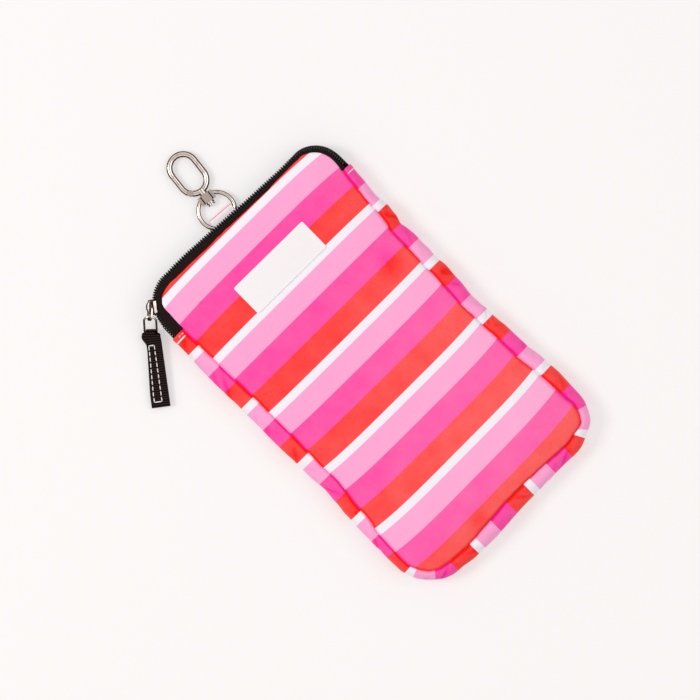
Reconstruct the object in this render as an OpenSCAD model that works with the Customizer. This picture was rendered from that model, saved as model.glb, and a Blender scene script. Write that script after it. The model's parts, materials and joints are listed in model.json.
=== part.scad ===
// Padded phone pouch that zips round its top, with a webbing zip pull and a spring-gate swivel hook.
// It lies on its back: +X across the pouch, +Y towards the zip, +Z out of the front.
// The origin is the middle of the back face. All lengths are millimetres.

/* [Pouch] */
// Width across the widest part of the pouch
pouch_w = 113.2; // [108:0.1:120]
// Height from the bottom edge to the top of the left corner
pouch_h = 192.5; // [185:0.5:200]
// How much lower the top edge ends at the right corner
top_drop = 3.6; // [0:0.1:5]
// Radius of the top left corner, which the slider runs round
top_left_r = 17; // [16.5:0.1:18]
// Radius of the top right corner
top_right_r = 15; // [14:0.1:17]
// Radius of both bottom corners
bottom_r = 19.5; // [17:0.1:23]
// Thickness of the pouch at its front and back seams
edge_t = 11.8; // [11.7:0.1:12.4]
// How far the padded front swells above its seam
crown_h = 3.2; // [2:0.1:4]
// How far in from the seam the swell reaches its full height
crown_reach = 22; // [16:0.5:26]
// Straight run of the zip below the top left corner
zip_run = 7.6; // [6:0.1:10]

/* [Cloth] */
// Thickness of the outer cloth
cloth_t = 0.6; // [0.5:0.05:0.8]
// Thickness of the padding
padding_t = 1.8; // [1.4:0.1:1.9]
// Thickness of the lining
lining_t = 0.3; // [0.2:0.05:0.35]
// Space between two layers
layer_gap = 0.05; // [0.04:0.01:0.08]
// Width of the tape that binds the seam allowance
binding_w = 4.4; // [3.5:0.1:5]
// Thickness of the bound seam allowance
binding_t = 1; // [0.7:0.1:1.2]

/* [Zip] */
// Angle by which the chain of teeth leans back and faces up
chain_tilt = 30; // [27:0.5:31]
// Height of the middle of the chain above the table
chain_z = 8.2; // [8.2:0.05:8.4]
// Distance of the middle of the chain inside the outline
chain_inset = 2; // [1.9:0.05:2.1]
// Thickness of the zip tapes
tape_t = 0.5; // [0.4:0.05:0.55]
// Distance from one tooth to the next
tooth_pitch = 1.27; // [1.15:0.01:1.6]
// Depth of the notch between two teeth
tooth_notch = 0.4; // [0.25:0.05:0.5]
// Depth of a row of teeth, from its cord to the crest of a tooth
row_depth = 1.3; // [1.2:0.05:1.35]
// Height of a row of teeth
row_h = 1.05; // [0.9:0.05:1.1]
// Half of the slot between the two rows
row_parting = 0.45; // [0.42:0.01:0.5]
// Height at which the back tape runs over the hook's tab
shelf_z = 3.85; // [3.82:0.01:3.9]

/* [Slider] */
// Place of the slider on the corner, as an angle from the right
slider_angle = 145; // [138:1:150]
// Length of the slider
slider_l = 7.2; // [6.6:0.1:7.6]
// Width of the slider across the chain
slider_w = 6; // [5.8:0.1:6.1]
// Thickness of each slider plate
plate_t = 0.85; // [0.7:0.05:0.9]
// Space for the teeth outside the middle of the chain
plate_out = 1.05; // [1.02:0.01:1.15]
// Space for the teeth inside the middle of the chain
plate_in = 1.6; // [1.5:0.05:1.65]
// Half of the slot that the tapes leave through
lip_gap = 0.5; // [0.42:0.02:0.6]
// Width of the lips that keep the teeth in
lip_w = 0.55; // [0.45:0.05:0.6]
// Thickness of the wedge that parts the teeth
wedge_t = 0.36; // [0.3:0.02:0.4]
// Outer radius of the bridge that carries the pull
bridge_r = 3.3; // [3.2:0.05:3.5]
// Thickness of the bridge
bridge_t = 0.85; // [0.75:0.05:0.9]
// Width of the bridge
bridge_w = 1.6; // [1.4:0.1:1.8]

/* [Pull] */
// Diameter of the link's pivot bar under the bridge
link_bar_d = 0.9; // [0.8:0.05:0.95]
// Length of the link between its pivot bar and its far bar
link_l = 4.5; // [4.4:0.1:5.2]
// Clear width of the link's window
link_window = 2.3; // [2.2:0.05:2.6]
// Width of the metal round the link's window
link_rim = 0.9; // [0.7:0.05:1]
// Diameter of the ring's wire
ring_wire_d = 1; // [0.9:0.05:1.05]
// Width of the ring between the middles of its arms
ring_w = 5.6; // [5.4:0.1:6.4]
// Length of the ring between the middles of its two ends
ring_l = 9.7; // [9.2:0.1:10]
// Length of the webbing from the ring's bar to its free end
webbing_l = 34.5; // [28:0.5:36]
// Width of the webbing
webbing_w = 8.6; // [7:0.1:9.5]
// Thickness of one layer of the webbing
webbing_t = 1.1; // [0.9:0.05:1.15]

/* [Label] */
// Width of the bare label
label_w = 43.7; // [36:0.1:50]
// Height of the bare label
label_h = 15.8; // [12:0.1:19]
// Thickness of the label
label_t = 0.5; // [0.4:0.05:0.8]
// Radius of the label's corners
label_r = 1; // [0.6:0.1:2]
// Place of the label's middle across the pouch
label_x = 1.5; // [-3:0.5:4]
// Distance from the top of the left corner down to the label's middle
label_drop = 35.5; // [33:0.5:45]

/* [Tab and loop] */
// Width of the cloth tab that holds the loop
tab_w = 13; // [10:0.5:14]
// Thickness of the tab's cloth
tab_t = 0.4; // [0.35:0.01:0.42]
// Radius to the middle of the loop's wire
loop_r = 8.45; // [8.3:0.05:8.8]
// Diameter of the loop's wire
loop_wire_d = 1.9; // [1.7:0.05:1.95]
// Distance of the loop's middle above the top edge
loop_rise = 5; // [4.9:0.05:5.4]
// Place of the loop's middle across the pouch
loop_x = -0.7; // [-4:0.1:4]
// Angle by which the loop and hook lean to the right
hook_lean = 6.4; // [0:0.2:12]
// Width of the barrel across its two side plates
barrel_w = 7.6; // [6.8:0.1:8]
// Length of the barrel along the swivel's axis
barrel_l = 4.1; // [3.8:0.1:4.2]
// Thickness of the barrel
barrel_t = 3.5; // [3.2:0.05:3.6]
// Diameter of the swivel post
post_d = 1.6; // [1.4:0.05:1.8]
// Diameter of the post's head
post_head_d = 3.8; // [3.4:0.05:3.85]

/* [Hook] */
// Outer length of the oval hook
hook_l = 22.5; // [21:0.1:25]
// Outer width of the oval hook
hook_w = 15.4; // [14.6:0.1:16.5]
// Diameter of the hook's bar
hook_d = 2.8; // [2.6:0.05:3]
// Diameter of the gate's bar
gate_d = 2.6; // [2.4:0.05:2.6]
// Angle round the lower bend at which the gate is pinned
gate_angle = 222; // [216:1:226]
// Diameter of the gate's pin
pin_d = 1.1; // [1:0.05:1.2]
// Diameter of the pin's riveted heads
pin_head_d = 2.3; // [2:0.1:2.5]
// Width of the slot that the gate's tongue turns in
fork_gap = 1.6; // [1.5:0.05:1.7]
// Thickness of the gate's tongue
tongue_t = 0.9; // [0.8:0.05:0.95]

/* [Hidden] */
$fn = 48;

// Clearances and small sizes shared by several pieces
cut = 1;
sliver = 0.02;
seat_gap = 0.1;
run_gap = 0.07;
soft_gap = 0.12;

// Outline of the pouch: four rounded corners, clockwise from the top left
top_left = 0;
top_right = 1;
bottom_right = 2;
bottom_left = 3;
corner_r = [top_left_r, top_right_r, bottom_r, bottom_r];
corner_c = [
    [-pouch_w / 2 + top_left_r, pouch_h / 2 - top_left_r],
    [pouch_w / 2 - top_right_r, pouch_h / 2 - top_drop - top_right_r],
    [pouch_w / 2 - bottom_r, -pouch_h / 2 + bottom_r],
    [-pouch_w / 2 + bottom_r, -pouch_h / 2 + bottom_r]
];
corner_way = [[1, -1], [-1, -1], [-1, 1], [1, 1]];
top_span = corner_c[top_right] - corner_c[top_left];
top_normal = atan2(top_span[1], top_span[0]) + acos((top_left_r - top_right_r) / norm(top_span));
top_ease = sliver * top_span / norm(top_span);
zip_end_y = corner_c[top_left][1] - zip_run;

// The band's section is a half round that joins the front seam to the back seam
band_r = edge_t / 2;
panel_inset = band_r + layer_gap;
padding_inset = panel_inset + layer_gap;
stack_t = cloth_t + padding_t + lining_t + 2 * layer_gap;
panel_levels = 5;
crown_power = 2.2;
label_y = pouch_h / 2 - label_drop;

// Rows of teeth in the section, measured from the middle of the chain
row_back = 1.1;
tape_start = 1.95;
tape_turn = slider_w / 2 + 0.4 * slider_w / 6;

// Length of the zip's path along the outline, up to the end of each stretch
path_1 = zip_run;
path_2 = path_1 + top_left_r * (180 - top_normal) * PI / 180;
path_3 = path_2 + norm(on_corner(top_right, top_normal) - on_corner(top_left, top_normal));
path_4 = path_3 + top_right_r * top_normal * PI / 180;
path_5 = path_4 + corner_c[top_right][1] - zip_end_y;

// Slider and pull
slider_outline_shares = [
    [-0.5, -0.35], [-0.4, -0.43], [0.07, -0.5], [0.36, -0.5], [0.5, -0.37],
    [0.5, 0.37], [0.36, 0.5], [0.07, 0.5], [-0.4, 0.43], [-0.5, 0.35]
];
bridge_sink = 1.1;
bridge_base = plate_out + plate_t;
link_bar_out = bridge_base + link_bar_d / 2 + run_gap;
link_bar_along = 0.7 * link_bar_d / 0.9;
link_out = 14;
ring_reach = link_l - ring_wire_d / 2 - 0.55 * ring_wire_d;
pull_heading = 226;
ring_pitch = 42;
pull_roll = 3;
webbing_lift = 39;
webbing_skew = 9;
ring_corner_r = 0.7 * ring_wire_d;
webbing_bore_r = ring_wire_d / 2 + run_gap;
webbing_fold_r = webbing_bore_r + webbing_t;
webbing_neck_w = ring_w - ring_wire_d - 4 * soft_gap;

// Loop, tab and swivel
loop_z = post_head_d / 2 + 0.05 * post_head_d / 3.8;
loop_top = on_top(loop_x);
loop_y = loop_top + loop_rise;
tab_reach = 6.3;
tab_root = 0.75;
tab_low = loop_z - loop_wire_d / 2 - soft_gap - tab_t / 2;
tab_high = loop_z + loop_wire_d / 2 + soft_gap + tab_t / 2;
tab_back = loop_y - loop_r - loop_wire_d / 2 - soft_gap - tab_t / 2;
tab_front = loop_y - 1.25 * tab_t / 0.4 - tab_t / 2;
barrel_out = loop_r + loop_wire_d / 2;
barrel_in = barrel_out - barrel_l;
barrel_core_r = 2.6;
barrel_core_w = 5;
hook_base_gap = 0.65;
hook_bend_r = hook_w / 2 - hook_d / 2;
hook_straight = hook_l / 2 - hook_w / 2;
hook_y = barrel_out + hook_base_gap + hook_l / 2;
boss_d = 3.6;
boss_in = barrel_out + seat_gap;
post_end = hook_y - hook_l / 2 + 0.4 * hook_d;
head_back = barrel_in - 1.5 * seat_gap;
head_l = 1.85;

// Gate: its pin stands on the centre line of the lower bend
pivot = [hook_bend_r * cos(gate_angle), -hook_straight + hook_bend_r * sin(gate_angle)];
gate_tip_y = 2.8;
gate_reach = norm([-hook_bend_r, gate_tip_y * hook_l / 22.5] - pivot);
gate_gap = 0.12;
ear_r = 1.5;
ear_h = hook_d + 0.04 * hook_d;
tongue_r = 1.3;
tongue_turn = 3.3;
tongue_low = -fork_gap / 2 + 0.05;
spring_wire_d = 0.4;
spring_r = pin_d / 2 + run_gap + spring_wire_d / 2;

// Points and outlines
function unit(v) = v / norm(v);
function left_of(v) = [-v[1], v[0]];
function on_corner(i, angle, n = 0) = corner_c[i] + (corner_r[i] + n) * [cos(angle), sin(angle)];
function on_top(x) =
    let (p = on_corner(top_left, top_normal), q = on_corner(top_right, top_normal))
    p[1] + (x - p[0]) * (q[1] - p[1]) / (q[0] - p[0]);

// Offset of one point of a line of points, square to both its neighbours
function mitre(points, i) =
    let (
        last = len(points) - 1,
        a = i == 0 ? undef : left_of(unit(points[i] - points[i - 1])),
        b = i == last ? undef : left_of(unit(points[i + 1] - points[i]))
    )
    i == 0 ? b : i == last ? a : (a + b) / (1 + a * b);

// Outline of a strip of even thickness that follows a line of points
function strip(points, t) = concat(
    [for (i = [0 : len(points) - 1]) points[i] + mitre(points, i) * t / 2],
    [for (i = [len(points) - 1 : -1 : 0]) points[i] - mitre(points, i) * t / 2]
);

// A place in the section of the zip: out of the chain's face, and across the chain
function in_chain(out, across) = [
    -chain_inset + out * cos(chain_tilt) - across * sin(chain_tilt),
    chain_z + out * sin(chain_tilt) + across * cos(chain_tilt)
];

// A point beside the zip's path: s along the outline, n outwards from it
function zip_point(s, n) =
    s < path_1 ? [-pouch_w / 2 - n, zip_end_y + s]
    : s < path_2 ? on_corner(top_left, 180 - (s - path_1) / top_left_r * 180 / PI, n)
    : s < path_3 ? on_corner(top_left, top_normal, n)
        + (s - path_2) * unit(on_corner(top_right, top_normal) - on_corner(top_left, top_normal))
    : s < path_4 ? on_corner(top_right, top_normal - (s - path_3) / top_right_r * 180 / PI, n)
    : [pouch_w / 2 + n, corner_c[top_right][1] - (s - path_4)];

// Extrude a section along a straight edge, with its x pointing out of the pouch
module along(p, q) {
    way = q - p;
    translate([p[0], p[1], 0])
        rotate([0, 0, atan2(way[1], way[0]) + 90])
            rotate([90, 0, 0])
                linear_extrude(norm(way))
                    children();
}

// Turn a section round a corner from one angle to a smaller one
module around(i, from, to) {
    translate([corner_c[i][0], corner_c[i][1], 0])
        rotate([0, 0, to])
            rotate_extrude(angle = from - to)
                translate([corner_r[i], 0])
                    children();
}

// Sweep a section along the zip, from its left end over the top to its right end
module zip_sweep() {
    along([-pouch_w / 2, zip_end_y], [-pouch_w / 2, corner_c[top_left][1]]) children();
    around(top_left, 180, top_normal) children();
    along(on_corner(top_left, top_normal) + top_ease, on_corner(top_right, top_normal) - top_ease)
        children();
    around(top_right, top_normal, 0) children();
    along([pouch_w / 2, corner_c[top_right][1]], [pouch_w / 2, zip_end_y]) children();
}

// Sweep a section down the right side, along the bottom and up the left side
module band_sweep(end_gap = 0) {
    along([pouch_w / 2, zip_end_y - end_gap], [pouch_w / 2, corner_c[bottom_right][1]]) children();
    around(bottom_right, 0, -90) children();
    along([corner_c[bottom_right][0], -pouch_h / 2], [corner_c[bottom_left][0], -pouch_h / 2]) children();
    around(bottom_left, 270, 180) children();
    along([-pouch_w / 2, corner_c[bottom_left][1]], [-pouch_w / 2, zip_end_y - end_gap]) children();
}

// Half-round skin of the band between two radii
module band_section(outer, inner) {
    translate([-band_r, band_r])
        difference() {
            circle(outer);
            circle(inner);
            translate([-2 * band_r, -2 * band_r])
                square([2 * band_r, 4 * band_r]);
        }
}

// Points of the whole outline at an even distance inside it, clockwise
function outline(inset) =
    let (turns = [[180, top_normal], [top_normal, 0], [0, -90], [270, 180]], steps = 12)
    [
        for (i = [0 : 3], k = [0 : steps])
            on_corner(i, turns[i][0] + (turns[i][1] - turns[i][0]) * k / steps, -inset)
    ];

// Flat sheet that follows the outline
module sheet(inset, t) {
    linear_extrude(t)
        polygon(outline(inset));
}

// Height of the swell at a share of its reach
function swell(share) = crown_h * (1 - pow(1 - share, crown_power));

// Solid swelling front between its rim and a floor, as nested outlines
module swelling(inset, rim_z, floor_z) {
    hull() {
        for (i = [0 : 3], k = [0 : panel_levels]) {
            share = k / panel_levels;
            d = inset + share * (crown_reach - sliver);
            r = max(corner_r[i] - d, sliver);
            shift = max(d - corner_r[i] + sliver, 0);
            low = k == 0 ? floor_z : rim_z;
            top = rim_z + swell(share);
            centre = corner_c[i] + shift * corner_way[i];
            translate([centre[0], centre[1], low])
                cylinder(h = top - low, r = r, $fn = 32);
        }
    }
}

// One layer of the front: a swelling sheet of even thickness
module front_layer(inset, depth, t) {
    rim = edge_t - depth;
    difference() {
        swelling(inset, rim, rim - t);
        translate([0, 0, -t])
            swelling(inset, rim, rim - 2 * t);
    }
}

// Closed loop of bound seam allowance inside a seam
module binding(z) {
    outer = panel_inset + seat_gap;
    translate([0, 0, z])
        linear_extrude(binding_t)
            difference() {
                polygon(outline(outer));
                polygon(outline(outer + binding_w));
            }
}

module front_panel() {
    color("hotpink") front_layer(panel_inset, 0, cloth_t);
}

module back_panel() {
    color("deeppink") sheet(panel_inset, cloth_t);
}

module gusset_band() {
    color("tomato") band_sweep(layer_gap) band_section(band_r, band_r - cloth_t);
}

module front_padding() {
    color("white") front_layer(padding_inset, cloth_t + layer_gap, padding_t);
}

module back_padding() {
    color("white")
        translate([0, 0, cloth_t + layer_gap])
            sheet(padding_inset, padding_t);
}

module gusset_padding() {
    outer = band_r - cloth_t - layer_gap;
    color("white") band_sweep(layer_gap) band_section(outer, outer - padding_t);
}

module front_lining() {
    color("lightgray") front_layer(padding_inset, cloth_t + padding_t + 2 * layer_gap, lining_t);
}

module back_lining() {
    color("lightgray")
        translate([0, 0, stack_t - lining_t])
            sheet(padding_inset, lining_t);
}

module gusset_lining() {
    outer = band_r - cloth_t - padding_t - 2 * layer_gap;
    color("lightgray") band_sweep(layer_gap) band_section(outer, outer - lining_t);
}

module front_binding() {
    color("dimgray") binding(edge_t - stack_t - seat_gap - binding_t);
}

module back_binding() {
    color("dimgray") binding(stack_t + seat_gap);
}

module zip_tape_front() {
    tape = [
        in_chain(0, tape_start),
        in_chain(0, tape_turn),
        [-band_r + seat_gap, edge_t - cloth_t / 2]
    ];
    color([0.1, 0.09, 0.09]) zip_sweep() polygon(strip(tape, tape_t));
}

module zip_tape_back() {
    turn = in_chain(0, -tape_turn);
    tape = [
        in_chain(0, -tape_start),
        turn,
        [turn[0] - tape_t / 2, shelf_z],
        [-band_r + tape_t / 2 + layer_gap, shelf_z],
        [-band_r + tape_t / 2 + layer_gap, cloth_t]
    ];
    color([0.1, 0.09, 0.09]) zip_sweep() polygon(strip(tape, tape_t));
}

// One row of teeth, fluted along its outer face; phase is a share of a pitch
module teeth_row(outer_n, z, phase) {
    count = floor(path_5 / tooth_pitch) - 1;
    crest_shares = [[0.05, 0], [0.3, 1], [0.65, 1], [0.9, 0]];
    crests = [
        for (k = [0 : count - 1], c = crest_shares)
            zip_point((k + c[0] + phase) * tooth_pitch, outer_n - tooth_notch * (1 - c[1]))
    ];
    ends = [0, path_1, path_2, path_3, path_4, path_5];
    bends = [0, 0, 10, 0, 8, 0];
    cord = [
        for (k = [5 : -1 : 1], j = [0 : max(bends[k], 1) - 1])
            zip_point(ends[k] - (ends[k] - ends[k - 1]) * j / max(bends[k], 1), outer_n - row_depth)
    ];
    translate([0, 0, z])
        linear_extrude(row_h)
            polygon(concat(
                [zip_point(0, outer_n - row_depth), zip_point(0, outer_n - tooth_notch)],
                crests,
                [zip_point(path_5, outer_n - tooth_notch)],
                cord
            ));
}

module zip_teeth_front() {
    color([0.06, 0.05, 0.05])
        teeth_row(-chain_inset + row_depth - row_back, chain_z + row_parting, 0);
}

module zip_teeth_back() {
    color([0.06, 0.05, 0.05])
        teeth_row(-chain_inset + row_back, chain_z - row_parting - row_h, 0.5);
}

// The slider's own frame: x out of its face, y along its travel, z across the chain
module at_slider() {
    translate([corner_c[top_left][0], corner_c[top_left][1], 0])
        rotate([0, 0, slider_angle])
            translate([top_left_r - chain_inset, 0, chain_z])
                rotate([0, -chain_tilt, 0])
                    children();
}

// Turn a section of the chain's frame round the corner, over half a span each way
module slider_turn(from, to) {
    translate([corner_c[top_left][0], corner_c[top_left][1], 0])
        rotate([0, 0, slider_angle + from])
            rotate_extrude(angle = to - from)
                translate([top_left_r - chain_inset, chain_z])
                    rotate(chain_tilt)
                        children();
}

module slider_body() {
    half_turn = asin(slider_l / 2 / (top_left_r - chain_inset)) + 6;
    wedge_turn = 0.28 * half_turn;
    depth = plate_out + plate_in + 2 * plate_t;
    color([0.8, 0.79, 0.77])
        intersection() {
            union() {
                slider_turn(-half_turn, half_turn) {
                    translate([plate_out, -slider_w / 2])
                        square([plate_t, slider_w]);
                    translate([-plate_in - plate_t, -slider_w / 2])
                        square([plate_t, slider_w]);
                    for (s = [-1, 1]) {
                        translate([lip_gap, s > 0 ? slider_w / 2 - lip_w : -slider_w / 2])
                            square([plate_out - lip_gap + sliver, lip_w]);
                        translate([-plate_in - sliver, s > 0 ? slider_w / 2 - lip_w : -slider_w / 2])
                            square([plate_in - lip_gap + sliver, lip_w]);
                    }
                }
                slider_turn(-half_turn + wedge_turn, -half_turn + 2.4 * wedge_turn)
                    translate([-plate_in - sliver, -wedge_t / 2])
                        square([plate_in + plate_out + 2 * sliver, wedge_t]);
            }
            at_slider()
                translate([-plate_in - plate_t - depth, 0, 0])
                    rotate([90, 0, 90])
                        linear_extrude(3 * depth)
                            polygon([for (p = slider_outline_shares) [-p[0] * slider_l, p[1] * slider_w]]);
        }
}

// Arch over the slider's outer plate
module slider_bridge() {
    half_turn = asin(slider_l / 2 / (top_left_r - chain_inset)) + 6;
    color([0.8, 0.79, 0.77])
        difference() {
            at_slider()
                translate([bridge_base - bridge_sink, 0, -bridge_w / 2])
                    difference() {
                        cylinder(h = bridge_w, r = bridge_r);
                        translate([0, 0, -cut])
                            cylinder(h = bridge_w + 2 * cut, r = bridge_r - bridge_t);
                        translate([-2 * bridge_r, -2 * bridge_r, -cut])
                            cube([2 * bridge_r, 4 * bridge_r, bridge_w + 2 * cut]);
                    }
            slider_turn(-half_turn, half_turn)
                translate([bridge_base + sliver - 2 * bridge_r, -bridge_w])
                    square([2 * bridge_r, 2 * bridge_w]);
        }
}

// Small link that turns on its bar under the bridge and straddles the bridge's foot
module puller_link() {
    outer = link_window / 2 + link_rim;
    color([0.8, 0.79, 0.77])
        at_slider()
            translate([link_bar_out, link_bar_along, 0])
                rotate([0, 0, -link_out]) {
                    translate([0, 0, -link_window / 2 - sliver])
                        cylinder(h = link_window + 2 * sliver, d = link_bar_d);
                    difference() {
                        union() {
                            translate([-link_bar_d / 2, 0, -outer])
                                cube([link_bar_d, link_l - outer + link_rim, 2 * outer]);
                            for (s = [-1, 1])
                                translate([0, 0, s * (outer - link_rim / 2) - link_rim / 2])
                                    cylinder(h = link_rim, d = link_bar_d);
                            translate([-link_bar_d / 2, link_l - outer + link_rim, 0])
                                rotate([0, 90, 0])
                                    cylinder(h = link_bar_d, r = outer);
                        }
                        translate([-cut, -cut, -link_window / 2])
                            cube([2 * cut, link_l - outer + link_rim + cut, link_window]);
                        translate([-cut, link_l - outer + link_rim, 0])
                            rotate([0, 90, 0])
                                cylinder(h = 2 * cut, d = link_window);
                    }
                }
}

// The ring's frame: x along the pull, y across it, origin in the middle of the near wire
ring_near = let (
        face = link_bar_out + ring_reach * sin(link_out),
        travel = link_bar_along + ring_reach * cos(link_out),
        radial = top_left_r - chain_inset + face * cos(chain_tilt),
        out = [cos(slider_angle), sin(slider_angle)]
    )
    [
        corner_c[top_left][0] + radial * out[0] - travel * out[1],
        corner_c[top_left][1] + radial * out[1] + travel * out[0],
        chain_z + face * sin(chain_tilt)
    ];

module at_ring() {
    translate(ring_near)
        rotate([0, 0, pull_heading])
            rotate([0, ring_pitch, 0])
                rotate([pull_roll, 0, 0])
                    children();
}

module at_webbing() {
    at_ring()
        translate([ring_l, 0, 0])
            rotate([0, -webbing_lift, 0])
                children();
}

module puller_ring() {
    r = ring_w / 2;
    arm = ring_l - r - ring_corner_r;
    bar = ring_w - 2 * ring_corner_r;
    color([0.83, 0.81, 0.78])
        at_ring() {
            translate([r, 0, 0])
                rotate([0, 0, 90])
                    rotate_extrude(angle = 180)
                        translate([r, 0])
                            circle(d = ring_wire_d);
            for (s = [-1, 1]) {
                translate([r, s * r, 0])
                    rotate([0, 90, 0])
                        cylinder(h = arm, d = ring_wire_d);
                translate([ring_l - ring_corner_r, s * (r - ring_corner_r), 0])
                    rotate([0, 0, s > 0 ? 0 : -90])
                        rotate_extrude(angle = 90)
                            translate([ring_corner_r, 0])
                                circle(d = ring_wire_d);
            }
            translate([ring_l, -bar / 2, 0])
                rotate([-90, 0, 0])
                    cylinder(h = bar, d = ring_wire_d);
        }
}

// A place on the webbing's plan, turned a little across the ring's bar
function skewed(x, y) = [
    x * cos(webbing_skew) - y * sin(webbing_skew),
    x * sin(webbing_skew) + y * cos(webbing_skew)
];

// Webbing folded over the ring's bar, drawn in at the fold
module pull_webbing() {
    neck_end = 0.05 * webbing_l;
    full = 0.17 * webbing_l;
    taper = 0.16 * webbing_l;
    half = [webbing_neck_w / 2, webbing_w / 2];
    color([0.1, 0.1, 0.1])
        at_webbing()
            intersection() {
                rotate([90, 0, 0])
                    translate([0, 0, -webbing_w])
                        linear_extrude(2 * webbing_w)
                            difference() {
                                union() {
                                    circle(webbing_fold_r);
                                    polygon([
                                        [0, -webbing_fold_r],
                                        [taper, -webbing_t],
                                        [webbing_l + webbing_w, -webbing_t],
                                        [webbing_l + webbing_w, webbing_t],
                                        [taper, webbing_t],
                                        [0, webbing_fold_r]
                                    ]);
                                }
                                circle(webbing_bore_r);
                                polygon([[0, -webbing_bore_r], [taper / 2, 0], [0, webbing_bore_r]]);
                            }
                translate([0, 0, -2 * webbing_fold_r])
                    linear_extrude(4 * webbing_fold_r)
                        polygon([
                            [-webbing_w, -half[0]], [neck_end, -half[0]], skewed(full, -half[1]),
                            skewed(webbing_l, -half[1]), skewed(webbing_l, half[1]),
                            skewed(full, half[1]), [neck_end, half[0]], [-webbing_w, half[0]]
                        ]);
            }
}

module label_patch() {
    half = [label_w / 2 - label_r, label_h / 2 - label_r];
    color([0.97, 0.96, 0.94])
        translate([label_x, label_y, edge_t + crown_h + sliver])
            linear_extrude(label_t) {
                square([label_w, 2 * half[1]], center = true);
                square([2 * half[0], label_h], center = true);
                for (x = [-1, 1], y = [-1, 1])
                    translate([x * half[0], y * half[1]])
                        circle(label_r);
            }
}

// Cloth loop sewn at the back seam, lying round the loop's wire
module ring_tab() {
    mid = (tab_low + tab_high) / 2;
    front = tab_front - 0.5 * (tab_high - tab_low);
    turn = [
        [tab_back, tab_low], [front, tab_low], [tab_front, mid - tab_t],
        [tab_front, mid + tab_t], [front, tab_high], [tab_back, tab_high]
    ];
    color("mistyrose")
        translate([loop_x - tab_w / 2, 0, 0])
            rotate([90, 0, 90])
                linear_extrude(tab_w)
                    difference() {
                        polygon(strip_side(turn, tab_t / 2));
                        polygon(strip_side(turn, -tab_t / 2));
                    }
}

// Closed outline moved out, or in when the distance is negative; its points run anticlockwise
function strip_side(points, d) =
    let (n = len(points))
    [
        for (i = [0 : n - 1])
            let (
                a = -left_of(unit(points[i] - points[(i + n - 1) % n])),
                b = -left_of(unit(points[(i + 1) % n] - points[i]))
            )
            points[i] + d * (a + b) / (1 + a * b)
    ];

// The loop's frame: y along the swivel's axis, origin in the middle of the loop
module at_loop() {
    translate([loop_x, loop_y, loop_z])
        rotate([0, 0, -hook_lean])
            children();
}

module at_hook() {
    at_loop()
        translate([0, hook_y, 0])
            children();
}

// A cylinder along the swivel's axis
module axle(from, to, d) {
    translate([0, from, 0])
        rotate([-90, 0, 0])
            cylinder(h = to - from, d = d);
}

module swivel_loop() {
    plate = (barrel_w - barrel_core_w) / 2;
    color([0.82, 0.8, 0.78])
        at_loop()
            difference() {
                union() {
                    rotate_extrude()
                        translate([loop_r, 0])
                            circle(d = loop_wire_d);
                    intersection() {
                        axle(barrel_in, barrel_out, 2 * barrel_core_r);
                        translate([-barrel_core_w / 2 - sliver, barrel_in - cut, -barrel_t / 2])
                            cube([barrel_core_w + 2 * sliver, barrel_l + 2 * cut, barrel_t]);
                    }
                    for (s = [-1, 1])
                        translate([s * (barrel_w - plate) / 2 - plate / 2, barrel_in, -barrel_t / 2])
                            cube([plate, barrel_l, barrel_t]);
                }
                axle(barrel_in - cut, barrel_out + cut, post_d + 2 * run_gap);
            }
}

module swivel_post() {
    groove = 0.3;
    color([0.86, 0.84, 0.82])
        at_loop() {
            axle(head_back - head_l / 2, post_end, post_d);
            axle(head_back - head_l / 2, head_back, post_head_d);
            axle(head_back - head_l / 2 - groove, head_back - head_l / 2, 0.7 * post_head_d);
            axle(head_back - head_l, head_back - head_l / 2 - groove, 0.9 * post_head_d);
        }
}

// Bent bar of the oval, between two angles of its lower or upper bend
module bend(side, from, to, d) {
    translate([0, side * hook_straight, 0])
        rotate([0, 0, from])
            rotate_extrude(angle = to - from)
                translate([hook_bend_r, 0])
                    circle(d = d);
}

module upright_bar(side, from, to, d) {
    translate([side * hook_bend_r, 0, 0])
        axle(from, to, d);
}

module at_pivot() {
    translate([pivot[0], pivot[1], 0])
        children();
}

module hook_frame() {
    color([0.84, 0.82, 0.8])
        at_hook()
            difference() {
                union() {
                    bend(-1, gate_angle, 360, hook_d);
                    upright_bar(1, -hook_straight, hook_straight, hook_d);
                    bend(1, 0, 180, hook_d);
                    difference() {
                        upright_bar(-1, -hook_straight, hook_straight, hook_d);
                        at_pivot()
                            cylinder(h = 2 * hook_d, r = gate_reach + gate_gap, center = true);
                    }
                    at_pivot()
                        cylinder(h = ear_h, r = ear_r, center = true);
                    axle(boss_in - hook_y, post_end - hook_y + 0.3 * hook_d, boss_d);
                }
                at_pivot() {
                    cylinder(h = fork_gap, r = ear_r + 3 * gate_gap, center = true);
                    cylinder(h = 2 * hook_d, d = pin_d + sliver, center = true);
                }
                axle(boss_in - hook_y - cut, post_end - hook_y + sliver, post_d + sliver);
            }
}

module gate() {
    color([0.84, 0.82, 0.8])
        at_hook()
            difference() {
                union() {
                    difference() {
                        union() {
                            bend(-1, 180, gate_angle, gate_d);
                            intersection() {
                                upright_bar(-1, -hook_straight, hook_straight, gate_d);
                                at_pivot()
                                    cylinder(h = 2 * hook_d, r = gate_reach, center = true);
                            }
                        }
                        at_pivot()
                            cylinder(h = 2 * hook_d, r = ear_r + gate_gap, center = true);
                    }
                    at_pivot()
                        translate([0, 0, tongue_low]) {
                            cylinder(h = tongue_t, r = tongue_r);
                            intersection() {
                                cylinder(h = tongue_t, r = 1.6 * ear_r);
                                rotate([0, 0, gate_angle - 90 - tongue_turn])
                                    translate([0, -tongue_r, 0])
                                        cube([2 * ear_r, 2 * tongue_r, tongue_t]);
                            }
                        }
                }
                at_pivot()
                    cylinder(h = 2 * hook_d, d = pin_d + 2 * run_gap, center = true);
            }
}

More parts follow.
